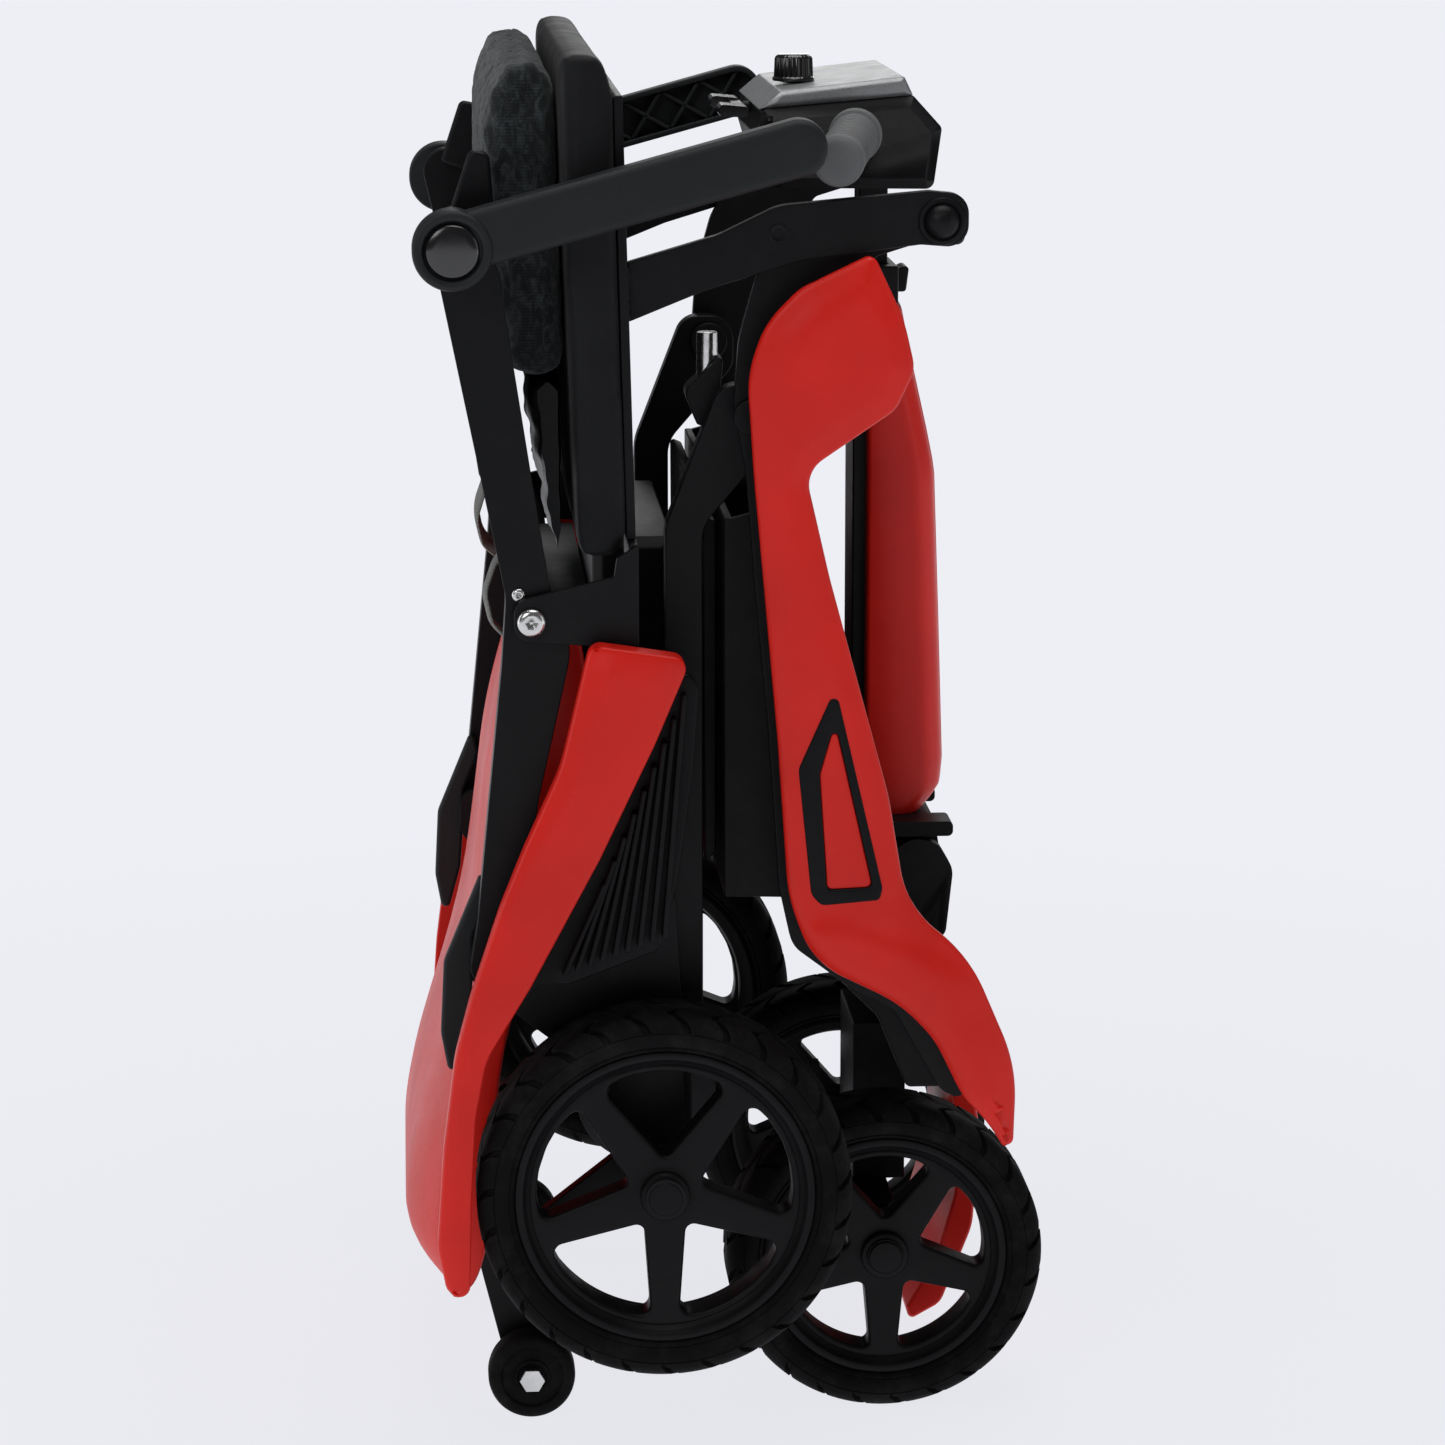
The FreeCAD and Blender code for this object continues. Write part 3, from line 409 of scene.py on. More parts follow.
def to_edge(points, loops):
    """Distance of each point to the nearest loop, and that loop's direction out of the plate there."""
    best = np.full(len(points), 1e9)
    out = np.zeros((len(points), 2))
    for number, loop in enumerate(loops):
        after = np.roll(loop, -1, axis=0)
        turning = np.sign(np.sum(loop[:, 0] * after[:, 1] - after[:, 0] * loop[:, 1]))
        turning *= 1 if number == 0 else -1
        for p, q in zip(loop, after):
            run = q - p
            outward = turning * np.array([run[1], -run[0]]) / np.linalg.norm(run)
            t = np.clip(((points - p) @ run) / (run @ run), 0, 1)
            gap = points - (p + t[:, None] * run)
            d = np.hypot(gap[:, 0], gap[:, 1])
            nearer = d < best
            best[nearer] = d[nearer]
            away = -gap[nearer] / np.maximum(d[nearer], 1e-6)[:, None]
            out[nearer] = np.where((d[nearer] > 0.3)[:, None], away, outward)
    return best, out


ROUND_STEPS, BACK_STEPS = 5, 3


def quarter(radius, steps):
    """Distances from a rim at which its rounding gets a row of points."""
    return [radius * (1 - math.cos(math.pi / 2 * k / steps)) for k in range(1, steps + 1)]


def plate(loops, y_in, y_out, edge=2.0, back_edge=0.8, grid=6.0, height=None, lines=(), rings=()):
    """Left-side plate in the XZ plane with rounded rims: loops[0] is its outline and the others are holes.
    y_in and y_out are distances from the middle plane, and height raises the outer face."""
    points, edges = [], []
    for loop in loops:
        start, count = len(points), len(loop)
        points += list(loop)
        edges += [(start + i, start + (i + 1) % count) for i in range(count)]
    bends = quarter(edge, ROUND_STEPS) + quarter(back_edge, BACK_STEPS) + list(rings)
    for loop in loops:
        normal = inward(loop, loops)
        for d in sorted(set(round(b, 4) for b in bends)):
            ring = loop + normal * d
            gap, _ = to_edge(ring, loops)
            points += list(ring[(gap > d * 0.96) & inside(ring, loops)])
    low, high = loops[0].min(0), loops[0].max(0)
    gx, gz = np.meshgrid(np.arange(low[0], high[0], grid), np.arange(low[1], high[1], grid))
    gx[1::2] += grid / 2
    field = np.stack([gx.ravel(), gz.ravel()], 1)
    field = field[inside(field, loops)]
    gap, _ = to_edge(field, loops)
    points += list(field[gap > max(edge, back_edge) + grid * 0.35])
    for line in lines:
        line = np.array(line)
        gap, _ = to_edge(line, loops)
        points += list(line[inside(line, loops) & (gap > 0.2)])
    flat, _, tris, _, _, _ = delaunay_2d_cdt([Vector(p) for p in points], edges, [], 0, 1e-5)
    flat = np.array([tuple(p) for p in flat])
    tris = np.array(tris)
    tris = tris[inside(flat[tris].mean(1), loops)]
    gap, out = to_edge(flat, loops)
    rim = gap < 1e-3

    def drop(radius):
        near = np.clip(radius - gap, 0, radius)
        return radius - np.sqrt(np.maximum(radius * radius - near * near, 0))

    face = y_out - drop(edge)
    if height is not None:
        face = face + height(flat[:, 0], flat[:, 1], gap, out)
    rear = y_in + drop(back_edge)
    count = len(flat)
    verts = [(x, -y, z) for (x, z), y in zip(flat, face)] + [(x, -y, z) for (x, z), y in zip(flat, rear)]
    faces = [tuple(t) for t in tris] + [tuple(int(i) + count for i in reversed(t)) for t in tris]
    uses = {(int(t[i]), int(t[(i + 1) % 3])): True for t in tris for i in range(3)}
    for a, b in uses:
        if (b, a) not in uses and rim[a] and rim[b]:
            faces.append((b, a, a + count, b + count))
    bm = bmesh.new()
    add_mesh(bm, verts, faces)
    return bm


def pair(name, bm, bodies, slot, nodes, look=None, **options):
    """The left piece and its mirror image."""
    other = mirrored(bm)
    left = finish_mesh(name + "_left", bm, bodies[0], slot, look, nodes=nodes[:1], **options)
    right = finish_mesh(name + "_right", other, bodies[1], slot, look, nodes=nodes[1:], **options)
    return left, right


def both(name, bm, body, slot, nodes=(), look=None, **options):
    """One piece made of the left mesh and its mirror image."""
    return finish_mesh(name, merged(bm, mirrored(bm)), body, slot, look, nodes=nodes, **options)


def spot(centre, r, y, a):
    """Point at radius r and angle a about the Y axis through centre, y out from the middle on the left."""
    return (centre[0] + r * math.cos(a), -y, centre[1] + r * math.sin(a))


def revolved(centre, profile, segments, closed=True):
    """Solid of revolution about the Y axis through centre, from (radius, distance from middle) points."""
    bm = bmesh.new()
    rings = []
    for r, y in profile:
        if r < 0.01:
            rings.append(vertices(bm, [(centre[0], -y, centre[1])]) * segments)
        else:
            rings.append(vertices(bm, [spot(centre, r, y, a) for a in turns(segments)]))
    for a, b in zip(rings, rings[1:] + (rings[:1] if closed else [])):
        for i in range(segments):
            j = (i + 1) % segments
            corners = list(dict.fromkeys((a[i], a[j], b[j], b[i])))
            if len(corners) > 2:
                bm.faces.new(corners)
    return bm


def islands(bm):
    """Sets of vertices that hang together."""
    seen, found = set(), []
    for v in bm.verts:
        if v in seen:
            continue
        stack, group = [v], set()
        while stack:
            w = stack.pop()
            if w in group:
                continue
            group.add(w)
            stack += [e.other_vert(w) for e in w.link_edges]
        seen |= group
        found.append(group)
    return found


def edged(node, body, slot, width=0.8, look=None, steps=2, keep=None, name=None):
    """Copy of a CAD node with its hard edges rounded, which stands for it.  keep(middle) picks its solids by
    their middles, in millimetres."""
    bm = bmesh.new()
    bm.from_mesh(NODES[node].data)
    bmesh.ops.remove_doubles(bm, verts=bm.verts, dist=2e-6)
    bmesh.ops.dissolve_limit(bm, angle_limit=math.radians(0.6), verts=bm.verts, edges=bm.edges)
    groups = islands(bm)
    if keep is not None:
        middles = [sum((v.co for v in group), Vector()) / len(group) / MM for group in groups]
        dropped = [v for group, middle in zip(groups, middles) if not keep(middle) for v in group]
        groups = [group for group, middle in zip(groups, middles) if keep(middle)]
        bmesh.ops.delete(bm, geom=dropped, context="VERTS")
    tagged = []
    for group in groups:
        tagged.append([e for e in bm.edges if e.verts[0] in group and len(e.link_faces) == 2
                       and e.calc_face_angle(0) > math.radians(30)])
    for edges in tagged:
        live = [e for e in edges if e.is_valid]
        if live:
            bmesh.ops.bevel(bm, geom=live, offset=width * MM, offset_type="OFFSET", segments=steps,
                            profile=0.5, affect="EDGES", clamp_overlap=True)
    return finish_mesh(name or node + "_shape", bm, body, slot, look, 35.0, [node], weighted=True)


HEAD_SIDES = 48


def button_head(centre, y, radius, tall):
    """Domed bolt head with a hexagon socket sunk in it."""
    rim = 0.56 * radius
    bm = revolved(centre, [(radius, y), (radius, y + 0.4 * tall), (radius * 0.92, y + 0.72 * tall),
                           (radius * 0.72, y + 0.93 * tall), (rim, y + tall)], HEAD_SIDES, closed=False)

    def ring(reach, level):
        return [spot(centre, reach(a), level, a) for a in turns(HEAD_SIDES)]

    def hexagon(share):
        return lambda a: share * radius * 0.40 / math.cos((a % (math.pi / 3)) - math.pi / 6)

    points = ring(lambda a: rim, y + tall)
    levels = [(1.0, y + tall - 0.1), (0.97, y + 0.25 * tall), (0.55, y + 0.12 * tall), (0.3, y + 0.2 * tall)]
    for share, level in levels:
        points += ring(hexagon(share), level)
    points.append((centre[0], -(y + 0.2 * tall), centre[1]))
    faces = []
    for k in range(len(levels)):
        for i in range(HEAD_SIDES):
            j = (i + 1) % HEAD_SIDES
            low, high = k * HEAD_SIDES, (k + 1) * HEAD_SIDES
            faces.append((low + i, low + j, high + j, high + i))
    base = len(levels) * HEAD_SIDES
    faces += [(base + i, base + (i + 1) % HEAD_SIDES, len(points) - 1) for i in range(HEAD_SIDES)]
    add_mesh(bm, points, faces)
    bmesh.ops.remove_doubles(bm, verts=bm.verts, dist=1e-6)
    return bm


def tube(points, radius, segments=10):
    """Round bar along points, in millimetres."""
    line = [Vector(p) for p in points]
    rings, across = [], None
    for i, p in enumerate(line):
        way = (line[min(i + 1, len(line) - 1)] - line[max(i - 1, 0)]).normalized()
        if across is None:
            across = way.orthogonal().normalized()
        across = (across - way * across.dot(way)).normalized()
        up = way.cross(across)
        rings.append([p + (across * math.cos(a) + up * math.sin(a)) * radius for a in turns(segments)])
    return loft(rings)


# ---- wheels -----------------------------------------------------------------------------------------------
TYRE_DEPTH = 20.0
PITCH_COLUMNS = [0.0, 0.06, 0.085, 0.16, 0.235, 0.26, 0.38, 0.5, 0.56, 0.585, 0.66, 0.735, 0.76, 0.88]
GROOVES = {1: {0.085, 0.16, 0.235}, -1: {0.585, 0.66, 0.735}}
# one half of a tyre's section, as distances: out from the rim's seat and in from the side
BEAD = [(0, 5), (1.0, 2.9), (2.2, 1.9), (3.0, 2.4), (3.8, 1.4), (6.5, 0.4)]
# in from the tread's radius and in from the side
SHOULDER = [(11, 0), (9.4, 0.1), (9.0, 0.55), (8.5, 0.15)]
# the same, then the way and the depth that grooves sink
TREAD = [(7.9, 0.3, 0.1, 0.95, 1.7), (5.2, 1.3, 0.4, 0.9, 2.3), (2.7, 3.4, 0.7, 0.7, 2.7),
         (0.9, 6.2, 0.95, 0.3, 2.9), (0, 9.5, 1, 0, 2.9), (0, 13.5, 1, 0, 2.9)]
# in from the tread's radius, from the tyre's middle, and the depth of grooves
CROWN = [(0, 4.6, 2.9), (0, 3.4, 0), (0.9, 1.2, 0)]


def tyre(centre, radius, inner, outer, pitches):
    """Solid tyre: ringed side walls, and a tread of staggered blocks between zigzag grooves."""
    half, middle, seat = (outer - inner) / 2, (inner + outer) / 2, radius - TYRE_DEPTH
    rows = [(seat + a, half - b, 0, 0, 0, 1) for a, b in BEAD]
    rows += [(radius - a, half - b, 0, 0, 0, 1) for a, b in SHOULDER]
    rows += [(radius - a, half - b, nr, nu, depth, 1) for a, b, nr, nu, depth in TREAD]
    rows += [(radius - a, u, 1, 0, depth, 1) for a, u, depth in CROWN]
    rows = rows + [(r, -u, nr, -nu, g, -1) for r, u, nr, nu, g, _ in reversed(rows)]
    rings = []
    slant = 0.62 * 2 * math.pi / pitches
    for r, u, nr, nu, depth, side in rows:
        reach = abs(u) / half
        shift = slant * (reach * 1.5 if reach < 0.55 else 0.825 - (reach - 0.55) * 1.7)
        ring = []
        for p in range(pitches):
            for f in PITCH_COLUMNS:
                sunk = depth if f in GROOVES[side] else 0.0
                a = (p + f) * 2 * math.pi / pitches + (shift if depth or reach < 0.9 else 0.0)
                if not depth and reach >= 0.9:
                    a = (p + f) * 2 * math.pi / pitches + slant * (0.825 - 0.45 * 1.7)
                ring.append(spot(centre, r - nr * sunk, middle + u - nu * sunk, a))
        rings.append(ring)
    return loft(rings, closed=True)


SPOKES, RIM_SEGMENTS = 5, 160
# the rim's band: in from its seat, and in from its outer or inner side
RIM_FRONT = [(-0.3, 5), (0.6, 3.9), (2.4, 3.4), (4.2, 4.0), (5.2, 5.4), (6.4, 7.6), (8.6, 9.0), (10, 10.5)]
RIM_BACK = [(10, 12), (8.5, 9), (5, 6), (2.4, 3.6), (0.6, 4), (-0.3, 5)]


def wheel(centre, radius, inner, outer, cap_out):
    """Rim: rolled band, a five-spoke disc with filleted windows, and a hub with a plain cap."""
    seat = radius - TYRE_DEPTH
    band = [(seat - a, outer - b) for a, b in RIM_FRONT] + [(seat - a, inner + b) for a, b in RIM_BACK]
    bm = revolved(centre, band, RIM_SEGMENTS)

    def polar(r, a):
        return (centre[0] + r * math.cos(a), centre[1] + r * math.sin(a))

    def beside(angle, r, off):
        x, z = polar(r, angle)
        return (x - off * math.sin(angle), z + off * math.cos(angle))

    far, near = seat - 11.5, 19.0
    loops = [np.array([polar(seat - 7, a) for a in turns(RIM_SEGMENTS)])]
    for i in range(SPOKES):
        down = -math.pi / 2 + 2 * math.pi * i / SPOKES
        after = down + 2 * math.pi / SPOKES
        first, last = beside(down, far - 1.5, 7.6), beside(after, far - 1.5, -7.6)
        ends = [math.atan2(p[1] - centre[1], p[0] - centre[0]) for p in (first, last)]
        if ends[1] < ends[0]:
            ends[1] += 2 * math.pi
        arc = [polar(far, a) + (30.0,) for a in np.linspace(ends[0], ends[1], 6)[1:-1]]
        window = [polar(near, (down + after) / 2) + (4.5,), first + (6.5,)] + arc + [last + (6.5,)]
        loops.append(rounded(window, 1.6))
    merged(bm, plate(loops, outer - 26, outer - 8.2, edge=2.2, back_edge=1.5, grid=6.0))
    cap = [(13.5, outer - 9), (13.2, outer - 5), (12.4, outer - 4), (10.5, outer - 3.6), (9.5, cap_out - 1.2),
           (8.6, cap_out - 0.3), (6, cap_out), (0, cap_out)]
    hub = [(15, inner + 3), (15, outer - 8), (8.3, outer - 8), (8.3, inner + 3)]
    merged(bm, revolved(centre, cap, 64, closed=False))
    return merged(bm, revolved(centre, hub, 64))


def sides(name):
    return [name + "_left", name + "_right"]


# label, axle, radius, inner and outer face, pitches of the tread, and the hub cap's face
WHEELS = (("rear", REAR_AXLE, 100.0, 182.0, 230.0, 27, 229.9),
          ("front", FRONT_AXLE, 87.5, 102.0, 148.0, 24, 147.7))
for label, axle, radius, inner, outer, pitches, cap in WHEELS:
    bodies = sides(label + "_wheel")
    pair(label + "_tread", tyre(axle, radius, inner, outer, pitches), bodies, "rubber",
         sides(label + "_tyre"), sharp=32)
    pair(label + "_wheel_disc", wheel(axle, radius, inner, outer, cap), bodies, "black_plastic",
         sides(label + "_rim"), "dull_rim", sharp=34)

ROLLER = [
    (4.1, 149.0), (7.8, 149.0), (8.3, 150.0), (9.8, 150.2), (10.4, 149.0), (16.2, 148.2), (17.4, 149.6),
    (20.5, 149.8), (22.6, 148.9), (23.7, 147.0), (24.0, 144.5), (24.0, 135.5), (23.7, 133), (22.6, 131.1),
    (20.5, 130.2), (17.4, 130.4), (16.2, 131.8), (10.4, 131.0), (4.1, 131.0),
]
pair("trolley_roller", revolved(TROLLEY_AXLE, ROLLER, 72), sides("trolley_wheel"), "rubber",
     sides("trolley_wheel"))


# ---- red covers -------------------------------------------------------------------------------------------
FENDER = [
    (-76, 449, 7), (-92, 383, 90), (-111, 341, 90), (-124, 309, 90), (-140, 261, 90), (-148.5, 229, 90),
    (-155, 180, 60), (-159, 125, 30), (-154, 98, 7), (-142, 98, 7), (-140.5, 152, 60), (-138, 196, 60),
    (-132, 228, 40), (-109, 266, 60), (-72, 335, 120), (-43, 396, 120), (-24, 441, 7),
]
FRONT_COVER = [
    (72, 647, 5), (34, 629, 30), (16, 611, 60), (7, 584, 60), (10.5, 531, 200), (23, 393, 200),
    (29, 306, 90), (42, 271, 60), (88, 248, 90), (107, 228, 60), (122.5, 196, 40),
    (136.5, 181, 90), (150.5, 158, 8), (152, 211, 90), (126, 272, 90), (92, 300, 90),
    (82, 360, 200), (50, 478, 200), (37, 534, 16), (84, 566, 16), (94, 587, 16), (88, 613, 90),
]
INSET = [(53, 421, 3), (33.5, 377, 8), (40.5, 309, 8), (46, 303, 5), (77, 305.5, 3), (78.5, 312, 4)]
INSET_PANEL = [(52.8, 402, 2), (44.8, 374, 5), (49, 311.5, 3), (73.2, 312.5, 3)]


def ease(t):
    t = np.clip(t, 0, 1)
    return t * t * (3 - 2 * t)


# width of the bevel on the edge towards the posts, against height
FENDER_BEVEL = ([98, 190, 280, 330, 400, 449], [12, 9, 6, 5.5, 10, 15])
COVER_BEVEL = ([250, 300, 393, 470, 531, 584, 620, 647], [5, 6, 8, 12, 19, 23, 19, 9])
# depth and width of the roll-over on the cover's other edge, against height
COVER_ROLL = (([158, 240, 300, 360], [5.0, 4.6, 3.0, 2.6]), ([158, 240, 300, 360], [26, 26, 16, 13]))


def crease(points, bevel):
    """The bevel's inner line along an outline, as points."""
    loop = rounded(points)
    normal = inward(loop)
    return (loop + normal * np.interp(loop[:, 1], *bevel)[:, None])[normal[:, 0] > 0.2]


def fender_relief(x, z, d, out):
    """A bevel down the edge that faces the seat posts, broad at both ends, and a low crown."""
    facing = ease((-out[:, 0] - 0.2) / 0.35)
    width = np.interp(z, *FENDER_BEVEL)
    return -0.42 * width * np.clip(1 - d / width, 0, 1) * facing - 1.2 * ease(1 - d / 16) * (1 - facing)


def cover_relief(x, z, d, out):
    """A broad bevel down the rear edge, a roll-over at the front edge, a step out over the wheel and a pocket
    for the inset."""
    facing = ease((-out[:, 0] - 0.1) / 0.4)
    crown = -np.interp(z, *COVER_ROLL[0]) * ease(1 - d / np.interp(z, *COVER_ROLL[1])) * (1 - facing)
    width = np.interp(z, *COVER_BEVEL)
    bevel = -np.clip(0.26 * width, 1.2, 4.4) * ease(1 - d / width) * facing
    lip = 1.7 * ease((297 - 0.42 * np.maximum(x - 60, 0) - z) / 12) * ease(d / 9)
    swell = 0.8 * np.exp(-((x - 48) / 26) ** 2 - ((z - 592) / 34) ** 2)
    flat = np.stack([x, z], 1)
    loop = [rounded(INSET)]
    gap, _ = to_edge(flat, loop)
    gap = np.where(inside(flat, loop), gap, -gap)
    near = ease((gap + 9) / 8)
    pocket = -2.4 * ease((gap - 0.9) / 1.0)
    return (crown + bevel + lip + swell) * (1 - near) - 0.4 * near + pocket


def offset_loop(points, distance):
    loop = rounded(points)
    return loop + inward(loop) * distance


ON_REAR, ON_FRONT = ("rear_frame", "rear_frame"), ("front_frame", "front_frame")
fender = plate([rounded(FENDER)], 214.5, 231.2, edge=2.2, grid=5.0, height=fender_relief,
               lines=[crease(FENDER, FENDER_BEVEL)])
pair("rear_fender_shell", fender, ON_REAR, "red_plastic", sides("rear_fender"))
pocket_lines = [offset_loop(INSET, d) for d in (-4.0, -1.0, 0.9, 1.9)]
cover = plate([rounded(FRONT_COVER)], 196.2, 206.4, edge=2.6, grid=5.0, height=cover_relief,
              lines=pocket_lines + [crease(FRONT_COVER, COVER_BEVEL)], rings=(6.0, 10.0))
pair("front_cover_shell", cover, ON_FRONT, "red_plastic", sides("front_side_cover"))
surround = plate([rounded(INSET, 1.5), rounded(INSET_PANEL, 1.5)], 203.4, 206.9, edge=1.3, back_edge=0.3,
                 grid=5.0)
both("inset_surround", surround, "front_frame", "black_plastic", ["cover_inset_frames"])
both("inset_insert", plate([rounded(INSET_PANEL, 1.5)], 203.5, 205.6, edge=1.0, back_edge=0.3, grid=5.0),
     "front_frame", "red_plastic", ["cover_inset_panels"])

RIBBED = [
    (-26, 433, 6), (-19, 423, 8), (-22, 381, 30), (-30, 322, 30), (-40, 282, 6), (-88, 264), (-103, 264, 4),
    (-112, 256, 4), (-116, 262, 4), (-78, 335, 60), (-50, 396, 60),
]
panel = plate([rounded(RIBBED)], 207.2, 213.0, edge=1.6, grid=8.0)
RIBS = 9
for i in range(RIBS):
    top = (-27.0 - 5.2 * i, 420.0 - 12.5 * i)
    low = (-38.0 - 6.6 * i, 290.0 - 2.4 * i)
    rib = [(top[0] - 1.7, top[1], 0.7), (top[0] + 1.1, top[1], 0.7),
           (low[0] + 1.7, low[1], 0.7), (low[0] - 1.1, low[1], 0.7)]
    merged(panel, plate([rounded(rib, 2.5)], 212.0, 220.6, edge=1.1, back_edge=0.2, grid=4.0))
pair("ribbed_side", panel, ON_REAR, "black_plastic", sides("ribbed_panel"))


# ---- tail cover -------------------------------------------------------------------------------------------
# from its top down the back and up the inside: (x at the sides, x in the middle, z)
TAIL_SKIN = [
    (-76, -76, 448), (-92, -94, 446), (-110, -114, 396), (-124, -127, 345), (-129, -132, 304),
    (-135, -139, 255), (-141, -149, 217), (-149, -160.5, 182), (-154.5, -170, 150), (-157, -175.5, 120),
    (-156.5, -175.9, 98), (-150, -166, 80), (-138, -140, 80), (-128, -128, 120), (-125, -125, 206),
    (-108, -108, 262), (-80, -80, 310), (-72, -72, 330),
]


def tail_shell():
    """Cover that grows fuller from its sides to the middle, with soft corners and rounded sides."""
    near = [166.0, 165.7, 165.0, 163.6, 160, 154, 146, 136, 124, 110, 96, 80, 60, 30]
    drops = [2.4, 1.5, 0.7, 0.15] + [0.0] * (len(near) - 4)
    stations = [(-y, d) for y, d in zip(near, drops)] + [(0.0, 0.0)]
    stations += [(y, d) for y, d in reversed(list(zip(near, drops)))]
    rings = []
    for y, drop in stations:
        full = math.sin(math.pi / 2 * min(1.0, (166 - abs(y)) / 90))
        line = np.array([(a + (b - a) * full, z) for a, b, z in TAIL_SKIN], float)
        for _ in range(3):
            after = np.roll(line, -1, axis=0)
            line = np.stack([0.75 * line + 0.25 * after, 0.25 * line + 0.75 * after], 1).reshape(-1, 2)
        rings.append([(x, y, z) for x, z in line + inward(line) * drop])
    return loft(rings)


finish_mesh("tail_shell", tail_shell(), "rear_frame", "red_plastic", nodes=["tail_cover"], sharp=50)


# ---- tiller cover -----------------------------------------------------------------------------------------
TILLER_FRONT = [
    (312.6, 119.5), (316, 122.8), (322, 127.5), (328, 131.2), (342, 132.5), (420, 129.8), (508, 126.5),
    (530, 122), (560, 115.2), (585, 110), (597, 107.6), (600, 106.5),
]
TILLER_BACK = 86.7
SECTION = [(0, 0), (9, -0.12), (15, -0.45), (17.6, -0.7), (18.6, -1.1), (19.2, -2.4), (20.8, -2.7),
           (21.5, -1.9), (22.6, -1.6), (26, -2.6), (28.6, -3.9), (30.6, -5.6), (33.2, -8.2), (34.8, -10.2),
           (35.7, -12.6), (36, -15.5)]


def tiller_shell():
    """Ridged cover of the tiller: its front follows the column's slope, with two grooves and soft corners."""
    levels = np.concatenate([np.arange(312.6, 345, 3.0), np.arange(345, 600, 8.0), [597, 600]])
    rings = []
    for z in levels:
        front = float(np.interp(z, *zip(*TILLER_FRONT)))
        fade = float(ease((z - 335) / 14)) * float(ease((575 - z) / 30))
        half = []
        for y, off in SECTION:
            groove = -1.4 if off < -2.3 and y < 21 else 0.0
            half.append((y, front + off - groove * (1 - fade)))
        shrink = 1.0 - 0.02 * max(0.0, (316 - z) / 4) - 0.02 * max(0.0, (z - 597) / 3)
        half += [(36, TILLER_BACK + 2), (35.2, TILLER_BACK + 0.4), (34, TILLER_BACK), (22, TILLER_BACK)]
        half += [(-y, x) for y, x in reversed(half[1:])]
        rings.append([(x, y * shrink, z) for y, x in half])
    return loft(rings)


finish_mesh("tiller_shell", tiller_shell(), "tiller_column", "red_plastic", nodes=["tiller_cover"], sharp=50)


# ---- plain hard parts, with their edges rounded -----------------------------------------------------------
# body, slot, and the width that each node's edges are rounded by
PLAIN_PARTS = (
    ("rear_frame", "black_steel", dict(rear_frame=1.0, rear_side_plates=1.0)),
    ("rear_frame", "drive_alloy", dict(transaxle=1.5)),
    ("rear_frame", "black_plastic", dict(battery_case=1.5, rear_floor_panel=0.8)),
    ("rear_frame", "charcoal_plastic", dict(tail_inserts=2.2)),
    ("rear_frame", "black_steel", dict(trolley_brackets=0.8)),
    ("front_frame", "black_steel", dict(front_side_plates=1.2)),
    ("front_frame", "black_plastic", dict(foot_deck=1.0, front_bulkhead=1.5)),
    ("front_frame", "black_steel", dict(front_axle_beam=1.0)),
    ("front_frame", "red_plastic", dict(front_bumper=2.0)),
    ("front_frame", "black_steel", dict(tiller_base=1.2)),
    ("tiller_knuckle", "black_plastic", dict(tiller_knuckle=1.5)),
    ("tiller_column", "black_steel", dict(tiller_column=1.0)),
    ("tiller_top", "black_steel", dict(tiller_inner_column=0.8)),
    ("tiller_top", "black_plastic", dict(console_base=3.0)),
    ("tiller_top", "silver_plastic", dict(console_top=1.0)),
    ("throttle", "knob_plastic", dict(throttle_paddles=1.2)),
    ("seat", "black_steel", dict(seat_pan=0.8, seat_brackets=1.0, seat_arms=1.0)),
    ("seat_posts", "black_steel", dict(post_cross_tubes=0.6)),
    ("seat_posts", "black_plastic", dict(backrest_shell=1.6)),
    ("seat_posts", "black_steel", dict(seat_post_left=2.2, seat_post_right=2.2)),
    ("front_knuckle_left", "black_steel", dict(front_knuckle_left=0.6)),
    ("front_knuckle_right", "black_steel", dict(front_knuckle_right=0.6)),
)
for body, slot, widths in PLAIN_PARTS:
    for node, width in widths.items():
        edged(node, body, slot, width, steps=3 if width > 1.4 else 2)


def plated(middle):
    """Accepts the trolley wheels' bolts and the nut on the hinge stop."""
    return middle.z < 60 or middle.z > 575


edged("rear_hardware", "rear_frame", "bright_steel", 0.5, keep=plated, name="plated_bolts")
edged("rear_hardware", "rear_frame", "bright_steel", 0.8, "black_steel", name="dark_pins",
      keep=lambda middle: not plated(middle))


# ---- armrests ---------------------------------------------------------------------------------------------
SLOPE = math.atan2(46.0, 168.0)
ARM_LOW, ARM_HIGH, ARM_END = -12.5, 17.0, 198.0
HUB_DISC = [(6.1, 208), (19.6, 208), (20.5, 209), (20.5, 228.6), (20.1, 230), (19.2, 230.9), (17.6, 231.2),
            (16.0, 230.8), (15.1, 229.8), (14.8, 227.5), (13.6, 227.0), (6.1, 227.0)]
HUB_CAP = [(13.9, 226.5), (13.9, 229.6), (13.4, 230.7), (12.2, 231.4), (9, 231.8), (0, 232.0)]


def along_arm(u, v):
    """Place in the XZ plane of a point along the armrest and across it, from its hub."""
    c, s = math.cos(SLOPE), math.sin(SLOPE)
    return (ARMREST_HUB[0] + u * c - v * s, ARMREST_HUB[1] + u * s + v * c)


